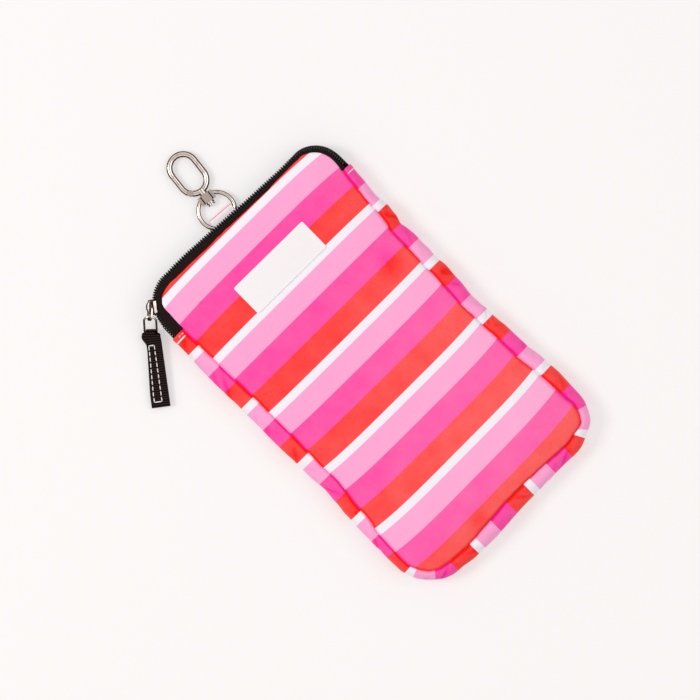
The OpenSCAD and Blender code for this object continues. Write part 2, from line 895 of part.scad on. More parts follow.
module gate_pin() {
    head = 0.3;
    color([0.75, 0.73, 0.71])
        at_hook()
            at_pivot() {
                cylinder(h = ear_h + sliver, d = pin_d, center = true);
                for (s = [-1, 1])
                    translate([0, 0, s * (ear_h / 2 + head / 2 + sliver / 2)])
                        cylinder(h = head, d = pin_head_d, center = true);
            }
}

// Small torsion spring on the pin, with one leg along the fork
module gate_spring() {
    coil_z = fork_gap / 2 - spring_wire_d / 2 - sliver;
    color([0.6, 0.6, 0.6])
        at_hook()
            at_pivot()
                translate([0, 0, coil_z])
                    rotate([0, 0, gate_angle + 90]) {
                        rotate([0, 0, -30])
                            rotate_extrude(angle = 300)
                                translate([spring_r, 0])
                                    circle(d = spring_wire_d);
                        rotate([0, 0, -90])
                            translate([spring_r, 0, 0])
                                rotate([-90, 0, 0])
                                    cylinder(h = ear_r, d = spring_wire_d);
                    }
}

front_panel();
back_panel();
gusset_band();
front_padding();
back_padding();
gusset_padding();
front_lining();
back_lining();
gusset_lining();
front_binding();
back_binding();
zip_tape_front();
zip_tape_back();
zip_teeth_front();
zip_teeth_back();
slider_body();
slider_bridge();
puller_link();
puller_ring();
pull_webbing();
label_patch();
ring_tab();
swivel_loop();
hook_frame();
swivel_post();
gate();
gate_pin();
gate_spring();
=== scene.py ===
"""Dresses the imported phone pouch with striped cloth, zip, pull, label and metalwork."""

import json
import logging
import math
import random
from dataclasses import dataclass, field
from enum import Enum
from typing import Callable, Iterable, Sequence

import bmesh
import bpy
from mathutils import Matrix, Vector, noise


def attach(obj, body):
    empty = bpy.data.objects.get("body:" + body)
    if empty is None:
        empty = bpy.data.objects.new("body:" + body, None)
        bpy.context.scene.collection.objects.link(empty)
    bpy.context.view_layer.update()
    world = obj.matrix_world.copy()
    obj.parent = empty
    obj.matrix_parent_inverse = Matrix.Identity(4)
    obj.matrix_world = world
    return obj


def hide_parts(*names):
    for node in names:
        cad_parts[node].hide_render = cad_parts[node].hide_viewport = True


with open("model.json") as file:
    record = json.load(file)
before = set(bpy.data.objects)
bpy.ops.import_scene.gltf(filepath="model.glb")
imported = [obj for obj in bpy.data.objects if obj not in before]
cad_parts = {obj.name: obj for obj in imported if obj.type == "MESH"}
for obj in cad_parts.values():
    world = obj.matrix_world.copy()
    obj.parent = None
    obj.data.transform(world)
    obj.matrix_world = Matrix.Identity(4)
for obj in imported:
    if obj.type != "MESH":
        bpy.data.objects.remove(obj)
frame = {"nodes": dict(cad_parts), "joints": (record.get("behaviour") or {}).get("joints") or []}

MM = 0.001
LOG = logging.getLogger("phone_pouch")
Colour = tuple[float, float, float]
Spot = tuple[float, float]
Inputs = dict[str | int, object] | Sequence[object]
Stroke = tuple[float, ...]
SeamAt = Callable[[float], float]
FaceHeight = Callable[[float, float, Vector], float]


class Body(str, Enum):
    """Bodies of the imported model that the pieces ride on."""

    POUCH = "pouch"
    WEBBING = "webbing"
    TAB = "tab"


class Slot(str, Enum):
    """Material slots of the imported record."""

    SHELL = "shell_cloth"
    BAND = "band_cloth"
    BINDING = "binding"
    TAPE = "zip_tape"
    TEETH = "zip_teeth"
    WEBBING = "webbing"
    LABEL = "label"
    TAB = "tab_cloth"


def srgb(*levels: float) -> Colour:
    """Turns a display colour into a linear one.

    Args:
        *levels: Red, green and blue, from 0 to 255.

    Returns:
        The linear colour.
    """
    shares = [level / 255 for level in levels]
    red, green, blue = (s / 12.92 if s <= 0.04045 else ((s + 0.055) / 1.055) ** 2.4 for s in shares)
    return red, green, blue


def clamp(value: float) -> float:
    """Keeps a value between 0 and 1."""
    return min(max(value, 0.0), 1.0)


def ease(share: float) -> float:
    """Makes a share from 0 to 1 start and end gently."""
    return share * share * (3 - 2 * share)


def bell(offset: float) -> float:
    """Returns the height of a bell curve that is 1 in its middle."""
    return math.exp(-(offset**2))


def squared(value: float, power: float) -> float:
    """Raises a value to a power and keeps its sign, which squares a circle off."""
    return math.copysign(abs(value) ** power, value)


def arc(count: int, start: float = 0.0, sweep: float = 2 * math.pi) -> list[Spot]:
    """Returns evenly spaced places on an arc of radius 1, without the one at its end."""
    angles = [start + sweep * i / count for i in range(count)]
    return [(math.cos(angle), math.sin(angle)) for angle in angles]


# Shader maths


@dataclass(frozen=True)
class Sock:
    """A shader value that Python's operators can be used on."""

    graph: "Graph"
    socket: bpy.types.NodeSocket

    def _math(self, kind: str, *values: "Sock | float") -> "Sock":
        """Adds a Math node of a kind for the values."""
        return self.graph.node("ShaderNodeMath", "Value", values, operation=kind)

    def __add__(self, other: "Sock | float") -> "Sock":
        """Returns the sum."""
        return self._math("ADD", self, other)

    __radd__ = __add__

    def __sub__(self, other: "Sock | float") -> "Sock":
        """Returns the difference."""
        return self._math("SUBTRACT", self, other)

    def __rsub__(self, other: "Sock | float") -> "Sock":
        """Returns the difference from another value."""
        return self._math("SUBTRACT", other, self)

    def __mul__(self, other: "Sock | float") -> "Sock":
        """Returns the product."""
        return self._math("MULTIPLY", self, other)

    __rmul__ = __mul__

    def __truediv__(self, other: "Sock | float") -> "Sock":
        """Returns the quotient."""
        return self._math("DIVIDE", self, other)

    def __rtruediv__(self, other: "Sock | float") -> "Sock":
        """Returns another value divided by this one."""
        return self._math("DIVIDE", other, self)

    def __pow__(self, other: "Sock | float") -> "Sock":
        """Returns the value raised to a power."""
        return self._math("POWER", self, other)

    def __rpow__(self, other: "Sock | float") -> "Sock":
        """Returns another value raised to this power."""
        return self._math("POWER", other, self)

    def __neg__(self) -> "Sock":
        """Returns the value with its sign turned."""
        return self._math("MULTIPLY", self, -1.0)

    def sin(self) -> "Sock":
        """Returns the sine of the value, in radians."""
        return self._math("SINE", self)

    def wave(self) -> "Sock":
        """Returns the sine of the value, in radians, as a share from 0 to 1."""
        return self.sin() * 0.5 + 0.5

    def fract(self) -> "Sock":
        """Returns the part of the value after its whole number."""
        return self._math("FRACT", self)

    def abs(self) -> "Sock":
        """Returns the value without its sign."""
        return self._math("ABSOLUTE", self)

    def max(self, other: "Sock | float") -> "Sock":
        """Returns the larger of two values."""
        return self._math("MAXIMUM", self, other)

    def min(self, other: "Sock | float") -> "Sock":
        """Returns the smaller of two values."""
        return self._math("MINIMUM", self, other)

    def ramp(self, low: float, high: float) -> "Sock":
        """Rises smoothly from 0 to 1 between two values.

        Args:
            low: Where the rise starts.
            high: Where it ends.

        Returns:
            The share, from 0 to 1.
        """
        limits = {"Value": self, "From Min": low, "From Max": high}
        return self.graph.node("ShaderNodeMapRange", "Result", limits, interpolation_type="SMOOTHSTEP")


@dataclass(frozen=True)
class Graph:
    """A material or world node tree that is built with Python expressions."""

    tree: bpy.types.NodeTree

    def __post_init__(self) -> None:
        """Empties the tree."""
        self.tree.nodes.clear()

    def make(self, kind: str, inputs: Inputs = (), **settings: object) -> bpy.types.Node:
        """Adds one node, sets its properties, and then sets or links its inputs.

        Args:
            kind: The node's type name.
            inputs: Values or sockets, by name, by number or in order.
            **settings: Properties of the node.

        Returns:
            The node.
        """
        made = self.tree.nodes.new(kind)
        for key, value in settings.items():
            setattr(made, key, value)
        for key, value in inputs.items() if isinstance(inputs, dict) else enumerate(inputs):
            target = made.inputs[key]
            if isinstance(value, Sock):
                self.tree.links.new(value.socket, target)
            else:
                target.default_value = (*value, 1.0) if isinstance(value, tuple) else value
        return made

    def node(self, kind: str, output: str | int, inputs: Inputs = (), **settings: object) -> Sock:
        """Adds one node and wraps one of its outputs.

        Args:
            kind: The node's type name.
            output: Name or number of the output.
            inputs: Values or sockets, by name, by number or in order.
            **settings: Properties of the node.

        Returns:
            The output.
        """
        return Sock(self, self.make(kind, inputs, **settings).outputs[output])

    def show(self, shader: Sock, kind: str = "ShaderNodeOutputMaterial") -> None:
        """Links a shader to the tree's output."""
        self.make(kind, {"Surface": shader})

    def principled(self, inputs: Inputs) -> Sock:
        """Adds the shader of all the surfaces."""
        return self.node("ShaderNodeBsdfPrincipled", "BSDF", inputs)

    def mix(self, share: "Sock | float", low: "Sock | Colour", high: "Sock | Colour") -> Sock:
        """Mixes two colours, where a share of 0 gives the first."""
        return self.node("ShaderNodeMix", 2, {0: share, 6: low, 7: high}, data_type="RGBA")

    def tint(self, base: "Sock | Colour", value: "Sock | float", saturation: "Sock | float" = 1.0) -> Sock:
        """Changes how light and how strong a colour is."""
        inputs = {"Saturation": saturation, "Value": value, "Color": base}
        return self.node("ShaderNodeHueSaturation", "Color", inputs)

    def split(self, vector: Sock) -> tuple[Sock, Sock, Sock]:
        """Takes a vector apart into x, y and z."""
        x, y, z = (Sock(self, part) for part in self.make("ShaderNodeSeparateXYZ", (vector,)).outputs)
        return x, y, z

    def coords(self, kind: str) -> Sock:
        """Returns the surface point or direction of a kind."""
        return self.node("ShaderNodeTexCoord", kind)

    def place(self) -> tuple[Sock, Sock, Sock]:
        """Returns the surface point's x, y and z in millimetres, in the part's own frame."""
        x, y, z = self.split(self.coords("Object"))
        return x * (1 / MM), y * (1 / MM), z * (1 / MM)

    def value(self, name: str) -> Sock:
        """Returns a value that the mesh carries at its points."""
        return self.node("ShaderNodeAttribute", "Fac", attribute_name=name)

    def grain(self, size: float, detail: float = 3.0) -> Sock:
        """Adds soft noise.

        Args:
            size: Size of its larger spots in millimetres.
            detail: How many finer layers it has.

        Returns:
            The noise, from 0 to 1.
        """
        point = self.coords("Object")
        inputs = {"Vector": point, "Scale": 1 / (size * MM), "Detail": detail, "Roughness": 0.55}
        return self.node("ShaderNodeTexNoise", "Fac", inputs)

    def bump(self, height: Sock, distance: float, base: Sock | None = None) -> Sock:
        """Makes a normal that follows a height.

        Args:
            height: The height, from 0 to 1.
            distance: Height of 1, in millimetres.
            base: Normal to start from.

        Returns:
            The normal.
        """
        inputs = {"Height": height, "Distance": distance * MM}
        return self.node("ShaderNodeBump", "Normal", inputs | ({"Normal": base} if base else {}))

    def background_rays(self) -> Sock:
        """Tells rays that look at the background, also by way of a gloss, from those of light.

        Returns:
            1 for the first kind and 0 for the second.
        """
        path, kinds = self.make("ShaderNodeLightPath"), ("Camera", "Glossy", "Transmission")
        camera, glossy, through = (Sock(self, path.outputs[f"Is {kind} Ray"]) for kind in kinds)
        return (camera + glossy + through).min(1.0)

    def blend_shaders(self, share: Sock, low: Sock, high: Sock) -> Sock:
        """Mixes two shaders, where a share of 0 gives the first."""
        return self.node("ShaderNodeMixShader", 0, (share, low, high))


# Finishes


@dataclass(frozen=True)
class StripeFinish:
    """Four bands of colour that repeat, and how they run over the panels, in millimetres.

    The starts are shares of a repeat. The bow and the lean say how the stripes drift near the sides.
    """

    white: Colour = srgb(246, 240, 248)
    light: Colour = srgb(255, 167, 213)
    hot: Colour = srgb(255, 84, 168)
    red: Colour = srgb(255, 70, 68)
    light_start: float = 0.106
    hot_start: float = 0.391
    red_start: float = 0.694
    edge: float = 0.006
    top: float = 88.85
    repeat: float = 36.17
    spare: int = 4
    side: float = 48.0
    bow: float = 0.7
    bow_fall: float = 0.02
    bow_least: float = -1.0
    bow_most: float = 1.2
    lean: float = 0.5
    lean_reach: float = 60.0


@dataclass(frozen=True)
class ClothFinish:
    """Weave, wear, painted shade, painted highlights, painted sheen and surface of the striped cloth, with
    sizes in millimetres.
    """

    thread: float = 0.42
    weave_depth: float = 0.03
    weave_highlight: float = 0.03
    weave_share: float = 0.6
    lump_size: float = 2.2
    sheen: float = 0.15
    sheen_roughness: float = 0.4
    gloss: float = 0.25
    roughness: float = 0.72
    roughness_size: float = 1.5
    roughness_change: float = 0.16
    # Painted shade in the seams, dents and creases.
    shade_tint: float = 0.18
    deep_shade: float = 0.42
    shade_range: Spot = (0.7, 1.3)
    light: float = 0.965
    strength: float = 0.962
    worn_size: float = 11.0
    worn_light: float = 0.04
    worn_strength: float = 0.10
    speck_size: float = 0.55
    speck_range: Spot = (0.62, 0.74)
    speck_change: float = 0.05
    # Painted sheen that pales the front's dyes towards the pouch's bottom right.
    sheen_way: Spot = (0.711, 0.703)
    sheen_range: Spot = (-60.0, 85.0)
    front_sheen: float = 0.07


@dataclass(frozen=True)
class TabFinish:
    """Pale cloth with a red thread of stripe near its fold and a painted highlight on its weave crests, in
    millimetres.
    """

    colour: Colour = srgb(255, 244, 248)
    line: Colour = srgb(226, 60, 84)
    line_y: float = 97.7
    line_slope: float = 0.07
    line_range: Spot = (0.2, 0.1)
    crest_highlight: float = 0.06
    depth: float = 0.03
    roughness: float = 0.8
    roughness_change: float = 0.1


@dataclass(frozen=True)
class MetalFinish:
    """Plated metal with fine wear, and painted reflections in its colour: darker on the very top, lighter
    just below it, darker down the flanks and in random patches.
    """

    colour: Colour = (0.83, 0.71, 0.64)
    shade_colour: Colour = (0.042, 0.023, 0.014)
    roughness: float = 0.1
    edge_radius: float = 0.12
    # Painted reflection on the very top and painted shade down the flanks, set by slope.
    crest_reflection_range: Spot = (0.965, 0.996)
    crest_reflection_share: float = 0.5
    flank_shade_range: Spot = (0.955, 0.70)
    cloud_size: float = 2.6
    patch_shade_range: Spot = (0.5, 0.72)
    patch_shade_share: float = 0.2
    wear_size: float = 1.6
    wear_layers: float = 5.0
    wear_change: float = 0.12
    scratch_size: float = 0.5
    scratch_depth: float = 0.006


@dataclass(frozen=True)
class PlainFinish:
    """A single dye with slight variation, and the colour of a painted highlight on threads or tips."""

    colour: Colour
    roughness: float = 0.8
    variation: float = 0.15
    painted_highlight: Colour = (0.06, 0.055, 0.05)


@dataclass(frozen=True)
class RibFinish(PlainFinish):
    """A dark woven tape with a painted highlight on its rib crests, in millimetres."""

    pitch: float = 0.8
    depth: float = 0.06
    rib_share: float = 0.7
    thread_turn: float = 1.7
    thread_sway: float = 1.2
    highlight_range: Spot = (0.3, 0.95)
    highlight_least: float = 0.75
    cloud_size: float = 4.0
    grain_size: float = 1.0
    grain_change: float = 0.1
    gloss: float = 0.05


@dataclass(frozen=True)
class MouldedFinish(PlainFinish):
    """A moulded plastic or coated surface with a fine grain, in millimetres."""

    relief: float = 0.02
    grain_size: float = 1.2
    grain_change: float = 0.12
    cloud_size: float = 5.0


@dataclass(frozen=True)
class ThreadFinish:
    """A twisted sewing thread, in millimetres."""

    colour: Colour = srgb(244, 240, 238)
    flat_twist: float = 16.0
    rise_twist: float = 9.0
    # Painted shade and painted highlight along the twist.
    shade: float = 0.86
    painted_highlight: float = 0.14
    roughness: float = 0.6
    roughness_change: float = 0.15
    depth: float = 0.05


@dataclass
class MaterialShop:
    """Makes each material once and hands it out by name."""

    stripes: StripeFinish = StripeFinish()
    cloth: ClothFinish = ClothFinish()
    tab: TabFinish = TabFinish()
    made: dict[str, bpy.types.Material] = field(default_factory=dict)

    def start(self, name: str) -> Graph:
        """Makes an empty material.

        Args:
            name: Its name.

        Returns:
            The graph of its nodes.
        """
        self.made[name] = bpy.data.materials.new(name)
        self.made[name].use_nodes = True
        return Graph(self.made[name].node_tree)

    def _bands(self, graph: Graph, phase: Sock) -> Sock:
        """Colours a repeat of the stripes.

        Args:
            graph: The material's graph.
            phase: Place in the stripes, counted in repeats.

        Returns:
            The stripe's colour.
        """
        s, share = self.stripes, phase.fract()
        steps = ((s.light_start, s.light), (s.hot_start, s.hot), (s.red_start, s.red), (1.0, s.white))
        colour = s.white
        for start, dye in steps:
            colour = graph.mix(share.ramp(start - s.edge, start), colour, dye)
        return colour

    def _weave(self, first: Sock, second: Sock) -> Sock:
        """Returns the height of a plain weave from 0 to 1, from the place along both threads."""
        turn = 2 * math.pi / self.cloth.thread
        return ((first * turn).sin() * (second * turn).sin()) * 0.5 + 0.5

    def _striped(self, graph: Graph, phase: Sock, weave: Sock, sheen_paling: float) -> None:
        """Finishes a striped cloth.

        Args:
            graph: The material's graph.
            phase: Place in the stripes, in repeats.
            weave: Height of the weave.
            sheen_paling: How much a painted sheen pales the dyes towards one corner.
        """
        c, shade_and_glint = self.cloth, graph.value("shade_and_glint")
        # Painted shade: the seams, dents and creases darken the dye and make it stronger.
        shade = shade_and_glint.ramp(*c.shade_range) * c.deep_shade
        base = graph.tint(self._bands(graph, phase), 1.0 - shade, 1.0 + shade_and_glint * c.shade_tint)
        x, y, _ = graph.place()
        # Painted sheen: the dyes pale towards the pouch's bottom right.
        pale = (x * c.sheen_way[0] - y * c.sheen_way[1]).ramp(*c.sheen_range)
        wear_and_glint = graph.grain(c.worn_size)
        specks = graph.grain(c.speck_size, 1.0).ramp(*c.speck_range)
        strength = c.strength + wear_and_glint * c.worn_strength + specks * c.speck_change - pale * sheen_paling
        # The weave's crests get a painted highlight.
        light = c.light + wear_and_glint * c.worn_light + weave * c.weave_highlight - specks * c.speck_change
        relief = weave * c.weave_share + graph.grain(c.lump_size) * (1 - c.weave_share)
        surface = {
            "Base Color": graph.tint(base, light, strength),
            "Roughness": c.roughness + graph.grain(c.roughness_size) * c.roughness_change,
            "Sheen Weight": c.sheen,
            "Sheen Roughness": c.sheen_roughness,
            "Specular IOR Level": c.gloss,
            "Normal": graph.bump(relief, c.weave_depth),
        }
        graph.show(graph.principled(surface))

    def front_cloth(self) -> None:
        """Makes the cloth of the two panels, whose stripes run across the pouch."""
        graph, s = self.start("front_cloth"), self.stripes
        x, y, _ = graph.place()
        bow = (s.bow - y * s.bow_fall).max(s.bow_least).min(s.bow_most)
        lean = ((-y).max(0.0) / s.lean_reach) ** 2.0 * s.lean
        across = x / s.side
        drop = s.top + s.spare * s.repeat - y + (across * across) ** 2.0 * bow + across * lean
        self._striped(graph, drop / s.repeat, self._weave(x, y), self.cloth.front_sheen)

    def band_cloth(self) -> None:
        """Makes the cloth of the band, whose stripes run across its length."""
        graph = self.start("band_cloth")
        weave = self._weave(graph.value("along"), graph.value("across"))
        self._striped(graph, graph.value("phase") + float(self.stripes.spare), weave, 0.0)

    def tab_cloth(self) -> None:
        """Makes the pale cloth of the tab."""
        graph, t = self.start("tab_cloth"), self.tab
        x, y, _ = graph.place()
        height = self._weave(x, y)
        line = (y + x * t.line_slope - t.line_y).abs().ramp(*t.line_range)
        # Painted highlight: the weave's crests lighten the cloth by up to 6 percent.
        base = graph.tint(graph.mix(line, t.colour, t.line), 1.0 + height * t.crest_highlight)
        normal = graph.bump(height, t.depth)
        roughness = t.roughness + height * t.roughness_change
        graph.show(graph.principled({"Base Color": base, "Roughness": roughness, "Normal": normal}))

    def ribbed(self, name: str, finish: RibFinish) -> None:
        """Makes a dark woven tape whose ribs follow the mesh.

        Args:
            name: Name of the material.
            finish: Its colours, ribs and roughness.
        """
        graph, turn = self.start(name), 2 * math.pi / finish.pitch
        ribs = (graph.value("along") * turn).wave()
        sway = ribs * finish.thread_sway
        threads = (graph.value("across") * (turn * finish.thread_turn) + sway).wave()
        height = ribs * finish.rib_share + threads * (1 - finish.rib_share)
        # Painted highlight on the rib crests, varied in random patches.
        clouds = finish.highlight_least + graph.grain(finish.cloud_size) * finish.variation
        surface = {
            "Base Color": graph.mix(height.ramp(*finish.highlight_range) * clouds, finish.colour, finish.painted_highlight),
            "Roughness": finish.roughness + graph.grain(finish.grain_size) * finish.grain_change,
            "Specular IOR Level": finish.gloss,
            "Normal": graph.bump(height, finish.depth),
        }
        graph.show(graph.principled(surface))

    def thread(self, name: str, finish: ThreadFinish) -> None:
        """Makes a twisted sewing thread.

        Args:
            name: Name of the material.
            finish: Its dye, twist and roughness.
        """
        graph = self.start(name)
        x, y, z = graph.place()
        twist = ((x + y) * finish.flat_twist + z * finish.rise_twist).wave()
        surface = {
            "Base Color": graph.tint(finish.colour, finish.shade + twist * finish.painted_highlight),
            "Roughness": finish.roughness + twist * finish.roughness_change,
            "Normal": graph.bump(twist, finish.depth),
        }
        graph.show(graph.principled(surface))

    def moulded(self, name: str, finish: MouldedFinish) -> None:
        """Makes a moulded plastic or coated surface.

        Args:
            name: Name of the material.
            finish: Its colours, grain and roughness.
        """
        graph = self.start(name)
        spots = graph.grain(finish.grain_size)
        value = 1 - finish.variation / 2 + graph.grain(finish.cloud_size) * finish.variation
        # The painted glint on bare teeth mixes in the lighter colour; the label has none.
        surface = {
            "Base Color": graph.mix(graph.value("shade_and_glint"), graph.tint(finish.colour, value), finish.painted_highlight),
            "Roughness": finish.roughness + spots * finish.grain_change,
            "Normal": graph.bump(spots, finish.relief),
        }
        graph.show(graph.principled(surface))

    def plated(self, name: str, finish: MetalFinish) -> None:
        """Makes polished plated metal with softened edges, and painted reflections and painted shade in its
        colour.

        Args:
            name: Name of the material.
            finish: Its colours, roughness and edge radius.
        """
        graph = self.start(name)
        # Painted reflection and shade by slope: a darker line on the very top, full shade on the flanks,
        # and random darker patches.
        level = graph.split(graph.coords("Normal"))[2].abs()
        slope_shade = level.ramp(*finish.crest_reflection_range) * finish.crest_reflection_share + level.ramp(*finish.flank_shade_range)
        clouds = graph.grain(finish.cloud_size).ramp(*finish.patch_shade_range)
        shade = (slope_shade + clouds * finish.patch_shade_share).min(1.0)
        wear = graph.grain(finish.wear_size, finish.wear_layers)
        edge = graph.node("ShaderNodeBevel", "Normal", {"Radius": finish.edge_radius * MM}, samples=6)
        surface = {
            "Base Color": graph.mix(shade, finish.colour, finish.shade_colour),
            "Metallic": 1.0,
            "Roughness": finish.roughness + wear * finish.wear_change,
            "Normal": graph.bump(graph.grain(finish.scratch_size), finish.scratch_depth, edge),
        }
        graph.show(graph.principled(surface))

    def stock(self) -> None:
        """Makes every material of the pouch."""
        self.front_cloth()
        self.band_cloth()
        self.tab_cloth()
        # The tapes and webbing carry painted highlights on their ribs.
        self.ribbed("binding_tape", RibFinish((0.03, 0.03, 0.03), pitch=0.7, depth=0.04))
        self.ribbed("zip_tape", RibFinish(srgb(12, 6, 5), 0.8, 0.3, srgb(56, 42, 40), 0.8, 0.06))
        self.ribbed("webbing", RibFinish(srgb(10, 4, 4), 0.7, 0.3, srgb(56, 45, 43), 1.1, 0.14))
        self.thread("white_thread", ThreadFinish())
        # The teeth's second colour is a painted glint for their bare tips.
        self.moulded("zip_teeth", MouldedFinish(srgb(12, 9, 9), 0.3, 0.2, srgb(170, 164, 160)))
        self.moulded("label", MouldedFinish(srgb(244, 239, 240), 0.42, 0.03, relief=0.012))
        self.plated("plated_metal", MetalFinish())
        self.plated("spring_wire", MetalFinish(colour=(0.5, 0.5, 0.5), shade_colour=(0.3, 0.3, 0.3), roughness=0.3))


# The pouch's form


@dataclass
class StationTable:
    """A value that changes smoothly along the closed outline, with rows of station and value."""

    length: float
    rows: tuple[Spot, ...]
    ripple: float = 0.0
    ripple_size: float = 4.2

    def at(self, station: float) -> float:
        """Reads the table.

        Args:
            station: Distance along the outline, in millimetres.

        Returns:
            The value there.
        """
        s = station % self.length
        after = next((i for i, row in enumerate(self.rows) if row[0] > s), 0)
        low, high = self.rows[after - 1], self.rows[after]
        span = (high[0] - low[0]) % self.length or self.length
        share = ((s - low[0]) % self.length) / span
        share = (1 - math.cos(math.pi * share)) / 2
        uneven = noise.noise(Vector((s / self.ripple_size, 0.3, 2.2))) if self.ripple else 0.0
        return low[1] + (high[1] - low[1]) * share + self.ripple * uneven


@dataclass
class Outline:
    """The pouch's rounded outline from above, in millimetres.

    Stations run clockwise from the zip's left end.
    """

    width: float = 113.2
    height: float = 192.5
    top_drop: float = 3.6
    top_left_r: float = 17.0
    top_right_r: float = 15.0
    bottom_r: float = 19.5
    zip_run: float = 7.6
    least_r: float = 0.02

    def __post_init__(self) -> None:
        """Works out the corners, their turns and the length of each stretch."""
        half_w, half_h = self.width / 2, self.height / 2
        self.radii = [self.top_left_r, self.top_right_r, self.bottom_r, self.bottom_r]
        self.ways = [Vector((1, -1)), Vector((-1, -1)), Vector((-1, 1)), Vector((1, 1))]
        tips = ((-half_w, half_h), (half_w, half_h - self.top_drop), (half_w, -half_h), (-half_w, -half_h))
        corners = zip(tips, self.ways, self.radii)
        self.centres = [Vector((x + way.x * r, y + way.y * r)) for (x, y), way, r in corners]
        span = self.centres[1] - self.centres[0]
        top = math.atan2(span.y, span.x) + math.acos((self.top_left_r - self.top_right_r) / span.length)
        self.turns = [(math.pi, top), (top, 0.0), (0.0, -math.pi / 2), (1.5 * math.pi, math.pi)]
        zip_end = self.centres[0].y - self.zip_run
        self.lead = zip_end - self.centres[3].y
        lines = [(self._corner(i, 0.0, 0.0) - self._corner(i - 1, 1.0, 0.0)).length for i in range(4)]
        arcs = [(a - b) * r for (a, b), r in zip(self.turns, self.radii)]
        self.spans = [length for pair in zip(lines, arcs) for length in pair]
        self.length = sum(self.spans)
        self.zip_length = sum(self.spans[:5]) - self.lead - (self.spans[4] - (self.centres[1].y - zip_end))

    def _corner(self, index: int, share: float, depth: float) -> Vector:
        """Places a point on a corner's arc.

        Args:
            index: The corner, clockwise from the top left.
            share: Place along the arc, from 0 to 1.
            depth: Distance inside the outline.

        Returns:
            The point.
        """
        index %= 4
        start, end = self.turns[index]
        angle = start + (end - start) * share
        radius = max(self.radii[index] - depth, self.least_r)
        shift = max(depth - self.radii[index] + self.least_r, 0.0)
        centre = self.centres[index] + self.ways[index] * shift
        return centre + Vector((math.cos(angle), math.sin(angle))) * radius

    def on_span(self, span: int, share: float, depth: float) -> tuple[Vector, Vector]:
        """Places a point by its stretch of the outline.

        Args:
            span: Stretch, 0 to 7: left, top left, top, top right, right, bottom right, bottom, bottom left.
            share: Place along the stretch, from 0 to 1.
            depth: Distance inside the outline.

        Returns:
            The point and the direction out of the pouch.
        """
        corner = span // 2
        start, end = self.turns[corner]
        if span % 2:
            angle = start + (end - start) * share
            return self._corner(corner, share, depth), Vector((math.cos(angle), math.sin(angle)))
        low, high = self._corner(corner - 1, 1.0, depth), self._corner(corner, 0.0, depth)
        return low.lerp(high, share), Vector((math.cos(start), math.sin(start)))

    def station(self, span: int, share: float) -> float:
        """Returns the station of a place on a stretch."""
        return (sum(self.spans[:span]) + self.spans[span] * share - self.lead) % self.length

    def find(self, station: float) -> tuple[int, float]:
        """Finds the stretch that a station lies on.

        Args:
            station: Distance along the outline.

        Returns:
            The stretch, and the place along it from 0 to 1.
        """
        rest = (station + self.lead) % self.length
        for span, length in enumerate(self.spans):
            if rest <= length:
                return span, rest / length
            rest -= length
        return len(self.spans) - 1, 1.0

    def at(self, station: float, depth: float) -> tuple[Vector, Vector]:
        """Returns the point and the way out of the pouch, by station and depth inside it."""
        return self.on_span(*self.find(station), depth)


